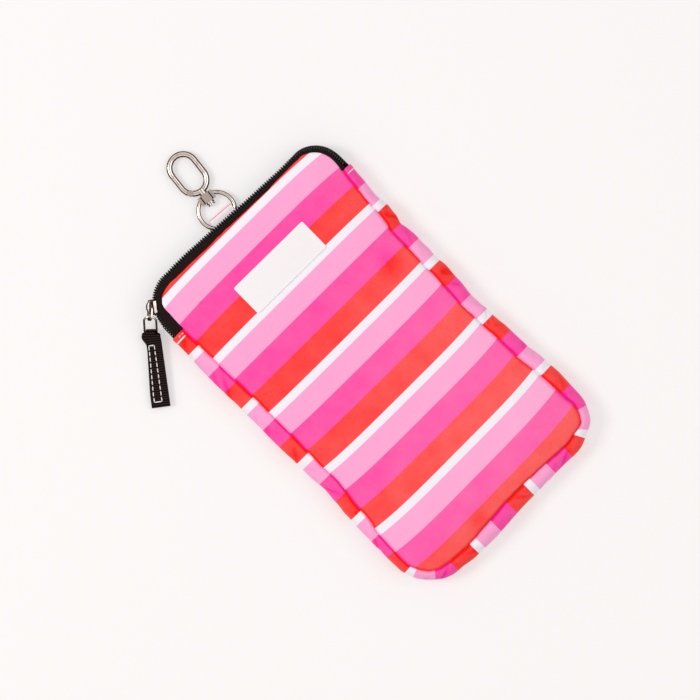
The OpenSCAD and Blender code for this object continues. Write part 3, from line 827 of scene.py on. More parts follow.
@dataclass
class PouchForm:
    """The cloth's surface: outline, seams, swell, and the small dents of soft cloth, in millimetres."""

    RIM = (
        (0, -0.1), (8, -0.2), (14, -0.3), (19, -0.3), (27, -0.3), (36, -0.05), (43, 0.45),
        (50, 0.7), (58, 0.6), (74, 0.4), (86, 0.2), (104, 0.3), (114, 0.6), (122, 0.9),
        (128, 0.9), (137, 0.7), (146, 0.8), (152, 0.4), (164, -0.7), (170, 0.1), (176, -0.4),
        (181, -1.6), (190, -0.6), (197, -0.6), (203, -1.1), (209, -0.4), (217, -0.8), (228, -1.6),
        (238, -1.1), (249, -0.3), (260, 0.1), (272, 1.3), (281, 1.8), (295, 1.4), (305, 0.9),
        (314, -1.0), (329, -1.2), (352, -0.9), (380, 0.4), (388, 0.3), (398, -0.8), (412, -1.3),
        (423, -0.7), (430, 0.2), (441, 0.5), (464, 0.1), (472, -0.6), (479, -1.3), (487, -0.6),
        (506, -0.2), (533, 0.1), (551, 0.5), (570, 0.0),
    )
    SEAM = (
        (0, -6.4), (9, -6.8), (20, -4.9), (28, -4.7), (36, -5.1), (46, -5.3), (56, -5.0),
        (74, -4.4), (84, -4.0), (94, -3.85), (104, -3.2), (114, -2.85), (126, -3.2), (140, -3.6),
        (148, -4.6), (162, -4.9), (171, -5.8), (194, -7.0), (217, -7.4), (262, -7.1), (281, -6.4),
        (298, -5.1), (306, -4.6), (318, -6.4), (359, -8.0), (400, -6.0), (416, -4.4), (428, -4.0),
        (446, -4.9), (460, -6.6), (483, -7.5), (506, -8.0), (530, -8.0), (556, -7.4),
    )
    SEAM_RIPPLE = 0.3
    LUMPS = ((24, 3.1, 0.7), (8, 7.7, 0.3))
    # Strength of the painted seam shade along the outline, strongest round the bottom right corner and
    # along the bottom.
    SHADE = (
        (0, 0.8), (270, 0.85), (300, 1.1), (330, 1.15), (372, 1.1), (410, 0.95), (470, 0.8), (570, 0.8),
    )
    DENTS = (
        (37.5, 27.3, 0.55, 4.5), (40.5, 24.0, 0.35, 3.5),
        (-14.6, -85.4, 0.6, 4.0), (-52.0, -29.0, 0.5, 5.0),
    )

    outline: Outline
    edge_t: float = 11.8
    crown: float = 3.2
    crown_reach: float = 22.0
    crown_power: float = 2.2
    wall_t: float = 2.7
    cloth_t: float = 0.6
    seam_dip: float = 1.25
    seam_width: float = 0.6
    drift_start: float = 13.0
    drift_reach: float = 9.0
    tilt: float = math.radians(30)
    chain_z: float = 8.2
    chain_inset: float = 2.0

    def __post_init__(self) -> None:
        """Sets up the tables that run along the outline."""
        self.rim = StationTable(self.outline.length, self.RIM)
        self.seam = StationTable(self.outline.length, self.SEAM, self.SEAM_RIPPLE)
        self.shade = StationTable(self.outline.length, self.SHADE)
        self.radius = self.edge_t / 2

    def height(self, n: float) -> float:
        """Gives the front's height.

        Args:
            n: Distance out of the outline, so negative inside it.

        Returns:
            The height.
        """
        r = self.radius
        if n > -r:
            return r + math.sqrt(max(r * r - (n + r) ** 2, 0.0))
        share = min((-n - r) / self.crown_reach, 1.0)
        return self.edge_t + self.crown * (1 - (1 - share) ** self.crown_power)

    def spread(self, span: int, share: float, n: float) -> Vector:
        """Places a point from above, with the drift of the soft rim.

        Args:
            span: Stretch of the outline, 0 to 7.
            share: Place along the stretch.
            n: Distance out of the outline.

        Returns:
            The point's x and y.
        """
        point, out = self.outline.on_span(span, share, -n)
        weight = ease(clamp((n + self.drift_start) / self.drift_reach))
        return point + out * self.rim.at(self.outline.station(span, share)) * weight

    def spread_at(self, station: float, n: float) -> Vector:
        """Returns the same by station."""
        return self.spread(*self.outline.find(station), n)

    def soften(self, point: Vector, amount: float) -> float:
        """Gives the small unevenness of soft cloth.

        Args:
            point: The point's x and y.
            amount: Greatest height of the unevenness.

        Returns:
            The height to add.
        """
        return amount * sum(
            share * noise.noise(Vector((point.x / size, point.y / size, layer)))
            for size, layer, share in self.LUMPS
        )

    def dent(self, point: Vector) -> float:
        """Gives the depth of the dents in the front.

        Args:
            point: The point's x and y.

        Returns:
            The depth.
        """
        return sum(
            depth * math.exp(-((point.x - x) ** 2 + (point.y - y) ** 2) / size**2)
            for x, y, depth, size in self.DENTS
        )

    def chain(self, out: float, across: float) -> Spot:
        """Turns a place in the chain's own section into the pouch's.

        Args:
            out: Distance out of the chain's face.
            across: Distance across the chain, towards the front.

        Returns:
            The distance out of the outline, and the height.
        """
        n = -self.chain_inset + out * math.cos(self.tilt) - across * math.sin(self.tilt)
        return n, self.chain_z + out * math.sin(self.tilt) + across * math.cos(self.tilt)


# Mesh making


@dataclass
class Knot:
    """A point of a mesh with the values that its material reads."""

    place: Vector
    along: float = 0.0
    across: float = 0.0
    phase: float = 0.0
    # Painted shade in the cloth's seams, dents and creases, and a painted glint on bare teeth.
    shade_and_glint: float = 0.0


@dataclass
class Draft:
    """Collects points and faces, and makes one smooth mesh object of them."""

    VALUES = ("along", "across", "phase", "shade_and_glint")

    knots: list[Knot] = field(default_factory=list)
    faces: list[tuple[int, ...]] = field(default_factory=list)

    def add(self, knots: Iterable[Knot]) -> list[int]:
        """Adds points.

        Args:
            knots: The points.

        Returns:
            Their numbers.
        """
        start = len(self.knots)
        self.knots.extend(knots)
        return list(range(start, len(self.knots)))

    def bridge(self, low: Sequence[int], high: Sequence[int], closed: bool) -> None:
        """Joins two rows of points with quads.

        Args:
            low: Numbers of the first row.
            high: Numbers of the second row.
            closed: True where a row is a loop.
        """
        for i in range(len(low) if closed else len(low) - 1):
            k = (i + 1) % len(low)
            self.faces.append((low[i], low[k], high[k], high[i]))

    def loft(self, rows: Sequence[Sequence[Knot]], closed: bool = False) -> None:
        """Skins a series of loops.

        Args:
            rows: The loops, each with the same number of points.
            closed: True where the last joins the first, False to close both ends.
        """
        made = [self.add(row) for row in rows]
        for low, high in zip(made, made[1:]):
            self.bridge(low, high, True)
        if closed:
            self.bridge(made[-1], made[0], True)
        else:
            self.faces.append(tuple(reversed(made[0])))
            self.faces.append(tuple(made[-1]))

    def build(self, name: str, material: bpy.types.Material, merge: float = 0.004) -> bpy.types.Object:
        """Makes the object.

        Args:
            name: Name of the piece.
            material: Its material.
            merge: Points nearer than this, in millimetres, become one.

        Returns:
            The object, not yet on a body.
        """
        mesh = bpy.data.meshes.new(name)
        mesh.from_pydata([knot.place * MM for knot in self.knots], [], self.faces)
        for value in self.VALUES:
            layer = mesh.attributes.new(value, "FLOAT", "POINT")
            layer.data.foreach_set("value", [getattr(knot, value) for knot in self.knots])
        work = bmesh.new()
        work.from_mesh(mesh)
        bmesh.ops.remove_doubles(work, verts=work.verts, dist=merge * MM)
        bmesh.ops.recalc_face_normals(work, faces=work.faces)
        for face in work.faces:
            face.smooth = True
        work.to_mesh(mesh)
        work.free()
        mesh.materials.append(material)
        piece = bpy.data.objects.new(name, mesh)
        bpy.context.scene.collection.objects.link(piece)
        return piece


def ribbon_loop(line: Sequence[Spot], thickness: float, ends: int = 3) -> list[Spot]:
    """Gives a line in a section an even thickness and round ends.

    Args:
        line: Points of the line, in millimetres.
        thickness: Full thickness, in millimetres.
        ends: Points on each round end.

    Returns:
        The closed loop round the line.
    """
    points = [Vector(p) for p in line]
    last, half = len(points) - 1, thickness / 2
    normals, loop = [], []
    for i in range(last + 1):
        way = (points[min(i + 1, last)] - points[max(i - 1, 0)]).normalized()
        normals.append(Vector((-way.y, way.x)))
    for turn in (1, -1):
        side = [(p, normal * turn) for p, normal in zip(points, normals)][::turn]
        loop += [p + normal * half for p, normal in side]
        tip, normal = side[-1]
        ahead = Vector((normal.y, -normal.x))
        for k in range(1, ends + 1):
            angle = math.pi / 2 - math.pi * k / (ends + 1)
            loop.append(tip + ahead * (half * math.cos(angle)) + normal * (half * math.sin(angle)))
    return [(p.x, p.y) for p in loop]


def settle(piece: bpy.types.Object, body: Body, slot: Slot, *replaces: str) -> None:
    """Makes a piece ride on a body and logs it.

    Args:
        piece: The object.
        body: The body it moves with.
        slot: The record's material slot; not used.
        *replaces: Nodes that it stands for.
    """
    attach(piece, body.value)
    if replaces:
        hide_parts(*replaces)
    LOG.info("made %s on %s, %d points", piece.name, body.value, len(piece.data.vertices))


@dataclass(frozen=True)
class Stitches:
    """A row of short raised threads, in millimetres."""

    SHARES = (0.0, 0.06, 0.2, 0.4, 0.6, 0.8, 0.94, 1.0)
    SWELL = (0.1, 0.62, 0.9, 1.0, 1.0, 0.9, 0.62, 0.1)
    SIDES = 8
    FLATNESS = 0.8
    LIFT = 0.35
    STEEP = 0.1
    PROBE = 0.1

    length: float
    gap: float
    radius: float

    @staticmethod
    def _along(points: Sequence[Vector], spots: Sequence[float], distance: float) -> Vector:
        """Finds a place on a line.

        Args:
            points: Points of the line.
            spots: Their distances along it.
            distance: The distance wanted.

        Returns:
            The place.
        """
        for i in range(1, len(spots)):
            if distance <= spots[i]:
                span = spots[i] - spots[i - 1] or 1.0
                return points[i - 1].lerp(points[i], (distance - spots[i - 1]) / span)
        return points[-1].copy()

    def run(self, draft: Draft, points: Sequence[Vector]) -> None:
        """Lays the stitches along a line.

        Args:
            draft: The mesh to add them to.
            points: Points of the line on the surface.
        """
        spots = [0.0]
        for a, b in zip(points, points[1:]):
            spots.append(spots[-1] + (b - a).length)
        total = spots[-1]
        count = max(int((total + self.gap) / (self.length + self.gap)), 1)
        pitch = (total + self.gap) / count
        sewn = pitch - self.gap
        for k in range(count):
            start, rows = k * pitch, []
            for share, scale in zip(self.SHARES, self.SWELL):
                distance = start + sewn * share
                here = self._along(points, spots, distance)
                ahead = self._along(points, spots, min(distance + self.PROBE, total))
                behind = self._along(points, spots, max(distance - self.PROBE, 0.0))
                way = (ahead - behind).normalized()
                side = way.cross(Vector((0, 0, 1)))
                if side.length < self.STEEP:
                    side = way.cross(Vector((1, 0, 0)))
                side.normalize()
                up = side.cross(way)
                lift = self.radius * self.LIFT * math.sin(math.pi * (distance - start) / sewn)
                middle = here + up * lift
                rows.append([
                    Knot(middle + (side * c + up * self.FLATNESS * q) * self.radius * scale)
                    for c, q in arc(self.SIDES)
                ])
            draft.loft(rows)


# The cloth


@dataclass
class Shell:
    """The padded cloth panels and the band between them, with sizes in millimetres."""

    DEPTHS = (0.0, 0.35, 0.8, 1.4, 2.2, 3.3, 4.8, 6.8, 9.4, 12.5, 16.0, 20.0)
    PHASES = (
        (145.1, 11.7), (169.9, 11.0), (205.1, 10.0), (239.8, 9.0), (275.0, 8.0), (314.6, 7.0), (350.3, 6.0),
        (386.9, 5.0), (426.9, 4.0), (461.3, 3.0), (496.9, 2.0), (532.6, 1.0), (566.9, 0.0), (577.5, -0.3),
    )
    BINDINGS = (("front_binding_tape", "front_binding", 8.4), ("back_binding_tape", "back_binding", 3.4))
    BINDING_LINE = ((-10.3, 0.0), (-8.2, 0.05), (-6.2, 0.0))

    form: PouchForm
    shop: MaterialShop
    inner: float = 27.5
    line_x: int = 30
    line_y: int = 58
    corner: int = 12
    seam_shade_reach: float = 0.7
    dent_shade: float = 0.5
    panel_merge: float = 0.1
    softness: float = 0.22
    front_drop: float = 0.08
    pucker: float = 0.09
    pucker_turns: Spot = (1.31, 1.27)
    pucker_reach: float = 2.5
    pad_start: float = 6.1
    pad_reach: float = 0.5
    seam_thin: float = 0.25
    middle_past: float = 5.0
    middle_inside: float = 30.0
    back_curl: float = 0.35
    back_curl_width: float = 0.8
    back_pad_reach: float = 0.6
    back_inset: float = 0.1
    rest_gap: float = 0.02
    band_step: float = 0.8
    round_steps: int = 12
    top_steps: int = 18
    end_bulge: float = 0.25
    band_wave: float = 0.16
    band_wave_turn: float = 1.45
    band_wave_fall: float = 9.0
    band_soft: float = 0.34
    lump_size: float = 9.0
    lump_turns: float = 3.0
    lump_layer: float = 1.7
    end_gap: float = 0.1
    end_fold: float = 1.2
    end_fold_width: float = 1.1
    bulge_rise: float = 0.6
    band_shade_reach: float = 0.8
    weave_girth: float = 20.0
    crease_count: int = 44
    crease_seed: int = 23
    crease_shift: Spot = (0.1, 0.9)
    crease_middle: Spot = (0.6, 0.88)
    crease_slope: Spot = (9.0, 26.0)
    crease_reach: Spot = (0.1, 0.3)
    crease_width: Spot = (1.1, 2.6)
    crease_depth: Spot = (0.15, 0.55)
    crease_span: float = 5.0
    crease_lip: float = 0.4
    crease_lip_shift: float = 1.7
    crease_drop: float = 0.8
    crease_shade: float = 0.9
    stitch_start: float = 0.12
    stitch_lift: float = 0.12
    stitch_rim: float = -0.02
    stitch_past: float = 0.7
    stitch_last: float = -8.5
    stitch_power: float = 1.6
    stitch_steps: int = 25
    binding_steps: int = 260
    binding_t: float = 0.9

    def _edge(self, face: FaceHeight, seam: SeamAt, depth: float) -> list[Knot]:
        """Makes one ring of a panel.

        Args:
            face: Height from distance out of the outline, distance inside the seam, and place.
            seam: Distance of the seam out of the outline, at a station.
            depth: Distance inside the seam where the seam lies on the outline.

        Returns:
            The ring's points.
        """
        form, outline, ring = self.form, self.form.outline, []
        counts = [self.line_y, self.corner, self.line_x, self.corner] * 2
        for span, share in ((span, i / count) for span, count in enumerate(counts) for i in range(count)):
            station = outline.station(span, share)
            start = seam(station)
            n = start - depth * (self.inner + start) / self.inner
            place = form.spread(span, share, n)
            # Painted shade in the dents and, past the end of the zip, along the seam.
            shade_and_glint = self.dent_shade * form.dent(place)
            if station > outline.zip_length:
                shade_and_glint += bell((start - n) / self.seam_shade_reach) * form.shade.at(station)
            spot = Vector((place.x, place.y, face(n, start - n, place)))
            ring.append(Knot(spot, place.x, place.y, 0.0, shade_and_glint))
        return ring

    def _panel(self, name: str, low: FaceHeight, high: FaceHeight, seam: SeamAt) -> bpy.types.Object:
        """Builds a padded panel from rings that follow its seam, and a grid inside them.

        Args:
            name: Name of the piece.
            low: Height of its lower face.
            high: Height of its upper face.
            seam: Distance of its seam out of the outline, at a station.

        Returns:
            The object.
        """
        draft, edges = Draft(), []
        for face in (high, low):
            rings = [draft.add(self._edge(face, seam, depth)) for depth in (*self.DEPTHS, self.inner)]
            for first, second in zip(rings, rings[1:]):
                draft.bridge(first, second, True)
            self._fill(draft, rings[-1], face)
            edges.append(rings[0])
        draft.bridge(*edges, True)
        piece = draft.build(name, self.shop.made["front_cloth"], self.panel_merge)
        return piece

    def _fill(self, draft: Draft, ring: Sequence[int], face: FaceHeight) -> None:
        """Fills the innermost ring with a grid.

        Args:
            draft: The mesh so far.
            ring: Numbers of the ring's points.
            face: Height of the face.
        """
        nx, ny, nc, total = self.line_x, self.line_y, self.corner, len(ring)
        left = ring[: ny + 1]
        top = [ring[(ny + nc + i) % total] for i in range(nx + 1)]
        right = [ring[(2 * ny + nx + 2 * nc - i) % total] for i in range(ny + 1)]
        bottom = [ring[(2 * ny + 2 * nx + 3 * nc - i) % total] for i in range(nx + 1)]
        spot = [knot.place for knot in draft.knots]
        rows = [bottom]
        for j in range(1, ny):
            v = j / ny
            row = [left[j]]
            for i in range(1, nx):
                u = i / nx
                low = spot[bottom[0]].lerp(spot[bottom[-1]], u)
                twist = low.lerp(spot[top[0]].lerp(spot[top[-1]], u), v)
                flat = spot[left[j]].lerp(spot[right[j]], u) + spot[bottom[i]].lerp(spot[top[i]], v) - twist
                place = Vector((flat.x, flat.y))
                z = face(-self.inner - self.middle_past, self.middle_inside, place)
                row += draft.add([Knot(Vector((flat.x, flat.y, z)), flat.x, flat.y)])
            rows.append([*row, right[j]])
        rows.append(top)
        for low, high in zip(rows, rows[1:]):
            draft.bridge(low, high, False)

    def _front_top(self, n: float, inside: float, place: Vector) -> float:
        """Gives the height of the front panel's upper face.

        Args:
            n: Distance out of the outline.
            inside: Distance inside the seam.
            place: The point from above.

        Returns:
            The height.
        """
        form = self.form
        dip = form.seam_dip * bell(inside / form.seam_width)
        turn = place.x * self.pucker_turns[0] + place.y * self.pucker_turns[1]
        ripple = self.pucker * math.sin(turn) * math.exp(-inside / self.pucker_reach)
        soft = form.soften(place, self.softness)
        return form.height(n) - dip + ripple + soft - self.front_drop - form.dent(place)

    def _front_under(self, n: float, inside: float, place: Vector) -> float:
        """Gives the height of the front panel's lower face.

        Args:
            n: Distance out of the outline.
            inside: Distance inside the seam.
            place: The point from above.

        Returns:
            The height.
        """
        form = self.form
        thick = form.cloth_t + (form.wall_t - form.cloth_t) * clamp((-n - self.pad_start) / self.pad_reach)
        thick *= min(max(inside / self.pad_reach, self.seam_thin), 1.0)
        return self._front_top(n, inside, place) - thick

    def _back_under(self, n: float, inside: float, place: Vector) -> float:
        """Returns the height of the back panel's lower face, which curls up at its seam."""
        return self.back_curl * bell(inside / self.back_curl_width) + self.rest_gap

    def _back_top(self, n: float, inside: float, place: Vector) -> float:
        """Returns the height of the back panel's upper face."""
        padding = (self.form.wall_t - self.form.cloth_t) * min(inside / self.back_pad_reach, 1.0)
        return self._back_under(n, inside, place) + self.form.cloth_t + padding

    def panels(self) -> None:
        """Builds the crowned front and the flat back, each with padding and lining."""
        front = self._panel("front_cover", self._front_under, self._front_top, self.form.seam.at)
        settle(front, Body.POUCH, Slot.SHELL, "front_panel", "front_padding", "front_lining")
        edge = -self.form.radius - self.back_inset
        back = self._panel("back_cover", self._back_under, self._back_top, lambda station: edge)
        settle(back, Body.POUCH, Slot.SHELL, "back_panel", "back_padding", "back_lining")

    def _phase(self, station: float) -> float:
        """Gives the place in the band's stripes.

        Args:
            station: Distance along the outline.

        Returns:
            The place, in repeats.
        """
        for low, high in zip(self.PHASES, self.PHASES[1:]):
            if station <= high[0]:
                return low[1] + (high[1] - low[1]) * ((station - low[0]) / (high[0] - low[0]))
        return self.PHASES[-1][1]

    def _strokes(self, start: float, end: float) -> list[Stroke]:
        """Draws the band's slanting creases.

        Args:
            start: Station where the band starts.
            end: Station where it ends.

        Returns:
            Each crease's station, place across the band, slope, reach, width and depth.
        """
        pick, count, made = random.Random(self.crease_seed), self.crease_count, []
        for k in range(count):
            made.append((
                start + (end - start) * (k + pick.uniform(*self.crease_shift)) / count,
                pick.uniform(*self.crease_middle),
                pick.choice((-1.0, 1.0, 1.0)) * pick.uniform(*self.crease_slope),
                pick.uniform(*self.crease_reach),
                pick.uniform(*self.crease_width),
                pick.uniform(*self.crease_depth),
            ))
        return made

    def _crease(self, strokes: Sequence[Stroke], station: float, share: float) -> float:
        """Gives how deep the band's slanting creases are at a place.

        Args:
            strokes: The creases.
            station: Distance along the outline.
            share: Place across the band, from its back seam to its front seam.

        Returns:
            The depth.
        """
        depth = 0.0
        for middle, centre, slope, reach, width, deepest in strokes:
            off = (station - middle - slope * (share - centre)) / width
            if abs(off) < self.crease_span:
                profile = bell(off) - self.crease_lip * bell(off - self.crease_lip_shift)
                depth += deepest * profile * math.exp(-(((share - centre) / reach) ** 4))
        return depth

    def _band_line(self, seam: float) -> list[Spot]:
        """Draws the band's outer face in the section.

        Args:
            seam: Distance of the front seam out of the outline.

        Returns:
            Distance out of the outline and height, from the back seam to the front seam.
        """
        form, r = self.form, self.form.radius
        quarter = r * math.pi / 2
        reach = quarter + (-r - seam)
        line = [(-r + r * c, r + r * q) for c, q in arc(self.round_steps, -math.pi / 2, math.pi / 2)]
        for j in range(self.top_steps + 1):
            path = reach * j / self.top_steps
            n, z = -r + r * math.cos(path / r), r + r * math.sin(path / r)
            if path >= quarter:
                n = -r - (path - quarter)
                z = form.height(n)
            line.append((n, z - form.seam_dip * bell((reach - path) / form.seam_width)))
        return line

    def _band_row(self, strokes: Sequence[Stroke], station: float, near_end: float) -> list[Knot]:
        """Makes one loop of the band, out along its outer face and back along its lining.

        Args:
            strokes: The creases.
            station: Distance along the outline.
            near_end: Distance from the nearer end of the band.

        Returns:
            The loop's points.
        """
        form, r, row = self.form, self.form.radius, []
        seam, phase = form.seam.at(station), self._phase(station)
        line = self._band_line(seam)
        girth = r * math.pi - r - seam
        bulge = self.end_bulge * bell((near_end - self.end_fold) / self.end_fold_width)
        places = [(j / (len(line) - 1), n, z) for j, (n, z) in enumerate(line)]
        for share, n, z in places:
            puff = math.sin(math.pi * share)
            fall = math.exp(-abs(share - 1) * self.band_wave_fall)
            wave = self.band_wave * math.sin(station * self.band_wave_turn) * fall
            crease = self._crease(strokes, station, share)
            lump = noise.noise(Vector((station / self.lump_size, share * self.lump_turns, self.lump_layer)))
            soft = self.band_soft * lump * puff - crease
            place = form.spread_at(station, n + (soft + bulge) * puff)
            z += wave + bulge * share * self.bulge_rise - crease * self.crease_drop * puff
            # Painted shade along the front seam and in the creases; the lining gets full painted shade.
            shade_and_glint = bell((1 - share) * girth / self.band_shade_reach) * form.shade.at(station)
            shade_and_glint += max(crease, 0.0) * self.crease_shade * puff
            spot = Vector((place.x, place.y, max(z, self.rest_gap)))
            row.append(Knot(spot, station, share * self.weave_girth, phase, shade_and_glint))
        inner = (r - form.wall_t) / r
        for share, n, z in reversed(places):
            if n >= -r:
                n, z = -r + (n + r) * inner, r + (z - r) * inner
            else:
                z -= form.cloth_t
            place = form.spread_at(station, n)
            spot = Vector((place.x, place.y, z))
            row.append(Knot(spot, station, share * self.weave_girth, phase, 1.0))
        return row

    def band(self) -> None:
        """Builds the half-round band down one side, along the bottom and up the other."""
        outline, draft, rows = self.form.outline, Draft(), []
        start, end = outline.zip_length + self.end_gap, outline.length - self.end_gap
        strokes = self._strokes(start, end)
        count = int((end - start) / self.band_step)
        for k in range(count + 1):
            station = start + (end - start) * k / count
            rows.append(self._band_row(strokes, station, min(station - start, end - station)))
        draft.loft(rows)
        piece = draft.build("side_band", self.shop.made["band_cloth"])
        settle(piece, Body.POUCH, Slot.BAND, "gusset_band", "gusset_padding", "gusset_lining")

    def bindings(self) -> None:
        """Builds the two bound seam allowances inside the pouch."""
        outline, loop = self.form.outline, ribbon_loop(self.BINDING_LINE, self.binding_t)
        for name, node, z in self.BINDINGS:
            draft, rows = Draft(), []
            for k in range(self.binding_steps):
                station = outline.length * k / self.binding_steps
                places = [(outline.at(station, -n)[0], n, z + rise) for n, rise in loop]
                rows.append([Knot(Vector((p.x, p.y, high)), station, n) for p, n, high in places])
            draft.loft(rows, closed=True)
            settle(draft.build(name, self.shop.made["binding_tape"]), Body.POUCH, Slot.BINDING, node)

    def end_stitches(self) -> None:
        """Builds the row of stitches that holds each folded end of the band."""
        form, outline, draft = self.form, self.form.outline, Draft()
        rows = (
            (outline.zip_length + 2.7, Stitches(9.0, 0.0, 0.27)),
            (outline.length - 3.1, Stitches(9.0, 0.0, 0.45)),
            (outline.length - 1.5, Stitches(1.3, 0.5, 0.2)),
        )
        low, steps = self.stitch_start, self.stitch_steps
        for station, stitches in rows:
            high, points = max(form.seam.at(station) + self.stitch_past, self.stitch_last), []
            for j in range(steps + 1):
                n = low + (high - low) * (j / steps) ** self.stitch_power
                place = form.spread_at(station, n)
                z = form.height(min(n, self.stitch_rim)) + self.stitch_lift
                points.append(Vector((place.x, place.y, z)))
            stitches.run(draft, points)
        settle(draft.build("end_stitches", self.shop.made["white_thread"]), Body.POUCH, Slot.BAND)


# The zip and its pull


@dataclass
class Zip:
    """The two tapes and rows of teeth round the top of the pouch, with sizes in millimetres."""

    FRONT_TURN = (0.0, 2.95)
    FRONT_END = ((0.0, 2.5), (-0.02, 2.0), (-0.05, 1.3))
    BACK_START = (-0.2, -1.2)
    BACK_BEND = (-0.5, -1.8)
    BACK_TURN = (-0.75, -2.4)
    BACK_STEPS = ((-0.02, 0.8, 5.2), (-0.08, 0.3, 4.5), (-0.4, 0.0, 3.98), (-1.0, 0.0, 3.85))
    BACK_END = ((-3.6, 3.85), (-5.2, 3.85), (-5.58, 3.5), (-5.6, 2.2), (-5.6, 0.6))

    form: PouchForm
    shop: MaterialShop
    tape_t: float = 0.5
    tape_step: float = 0.9
    tuck_gap: float = 0.35
    tuck_least: float = 0.12
    tuck_reach: float = 0.9
    tuck_drop: float = 0.95
    tape_drop: float = 0.55
    swell: float = 0.72
    swell_near: Spot = (9.5, 3.0)
    swell_far: Spot = (110.0, 8.0)
    swell_bend: float = 0.9
    pitch: float = 1.27
    row_across: float = 0.98
    tooth_out: float = 0.14
    tooth_back: float = 0.3
    tooth_half_l: float = 0.4
    tooth_half_out: float = 0.86
    tooth_half_w: float = 0.53
    tooth_rings: int = 6
    tooth_sides: int = 10
    tooth_tip: float = 0.02
    tooth_round: float = 0.6
    tooth_square: float = 3.0
    tooth_flat: float = 0.7
    first_tooth: float = 0.475
    bare_end: float = 13.0
    glint_face: float = 0.9
    glint_reach: float = 0.6

    def _sweep(self, name: str, node: str, line: Callable[[float], list[Spot]]) -> None:
        """Sweeps a strip of tape along the zip.

        Args:
            name: Name of the piece.
            node: The node it stands for.
            line: The tape's line in the section, at a station.
        """
        length, draft, rows = self.form.outline.zip_length, Draft(), []
        count = int(length / self.tape_step)
        for k in range(count + 1):
            station = length * k / count
            loop = ribbon_loop(line(station), self.tape_t)
            row, across = [], 0.0
            for i, (n, z) in enumerate(loop):
                across += math.dist((n, z), loop[i - 1]) if i else 0.0
                place = self.form.spread_at(station, n)
                row.append(Knot(Vector((place.x, place.y, z)), station, across))
            rows.append(row)
        draft.loft(rows)
        settle(draft.build(name, self.shop.made["zip_tape"]), Body.POUCH, Slot.TAPE, node)

    def _front_line(self, station: float) -> list[Spot]:
        """Draws the front tape, from under the panel's edge down to the teeth.

        Args:
            station: Distance along the zip.

        Returns:
            Points of distance out of the outline and height.
        """
        form = self.form
        turn = form.chain(*self.FRONT_TURN)[0]
        under = min(form.seam.at(station) - self.tuck_gap, turn - self.tuck_least)
        line = [(under - self.tuck_reach, form.height(under - self.tuck_reach) - self.tuck_drop)]
        for k in range(5):
            n = under + (turn - under) * k / 4
            line.append((n, form.height(n) - self.tape_drop))
        return line + [form.chain(*spot) for spot in self.FRONT_END]

    def _back_line(self, station: float) -> list[Spot]:
        """Draws the back tape, which swells past the teeth near both ends of the zip.

        Args:
            station: Distance along the zip.

        Returns:
            Points of distance out of the outline and height.
        """
        form = self.form
        near = clamp((self.swell_near[0] - station) / self.swell_near[1])
        far = clamp((station - self.swell_far[0]) / self.swell_far[1])
        proud = self.swell * max(near, far)
        turn, bend = form.chain(*self.BACK_TURN), form.chain(*self.BACK_BEND)
        return [
            form.chain(*self.BACK_START),
            (bend[0] + proud * self.swell_bend, bend[1]),
            (turn[0] + proud, turn[1]),
            *((turn[0] + out + proud * share, z) for out, share, z in self.BACK_STEPS),
            *self.BACK_END,
        ]

    def tapes(self) -> None:
        """Builds both tapes."""
        self._sweep("front_tape", "zip_tape_front", self._front_line)
        self._sweep("back_tape", "zip_tape_back", self._back_line)

    def _tooth(self, draft: Draft, station: float, across: float) -> None:
        """Adds one coil tooth, square to the tilted face of the chain.

        Args:
            draft: The mesh to add it to.
            station: Its place along the zip.
            across: Its middle across the chain, towards the front.
        """
        form, bare = self.form, station < self.bare_end
        n, z = form.chain(self.tooth_out - (self.tooth_back if bare else 0.0), across)
        middle = form.spread_at(station, n).to_3d() + Vector((0, 0, z))
        out = form.outline.at(station, -n)[1]
        level, along, up = Vector((out.x, out.y, 0)), Vector((out.y, -out.x, 0)), Vector((0, 0, 1))
        face = level * math.cos(form.tilt) + up * math.sin(form.tilt)
        side = level * -math.sin(form.tilt) + up * math.cos(form.tilt)
        rows, power = [], self.tooth_square
        for i in range(self.tooth_rings + 1):
            polar = math.pi * i / self.tooth_rings
            height, ring = math.cos(polar), max(math.sin(polar), self.tooth_tip) ** self.tooth_round
            row = []
            for c, q in arc(self.tooth_sides):
                square = (abs(c) ** power + abs(q) ** power) ** (-1 / power) * ring
                place = middle + along * (c * square * self.tooth_half_l)
                place += face * (q * square * self.tooth_half_out)
                place += side * (squared(height, self.tooth_flat) * self.tooth_half_w)
                # Painted glint: the back row's outer tips on the bare stretch get a lighter colour.
                wear_and_glint = bare and across < 0 and q > self.glint_face and abs(height) < self.glint_reach
                row.append(Knot(place, shade_and_glint=1.0 if wear_and_glint else 0.0))
            rows.append(row)
        draft.loft(rows)

    def teeth(self) -> None:
        """Builds both rows of teeth, set half a pitch apart."""
        count = int(self.form.outline.zip_length / self.pitch) - 1
        for side, across, phase in (("front", self.row_across, 0.0), ("back", -self.row_across, 0.5)):
            draft = Draft()
            for k in range(count):
                self._tooth(draft, (k + (self.first_tooth + phase)) * self.pitch, across)
            piece = draft.build(f"{side}_teeth", self.shop.made["zip_teeth"])
            settle(piece, Body.POUCH, Slot.TEETH, f"zip_teeth_{side}")


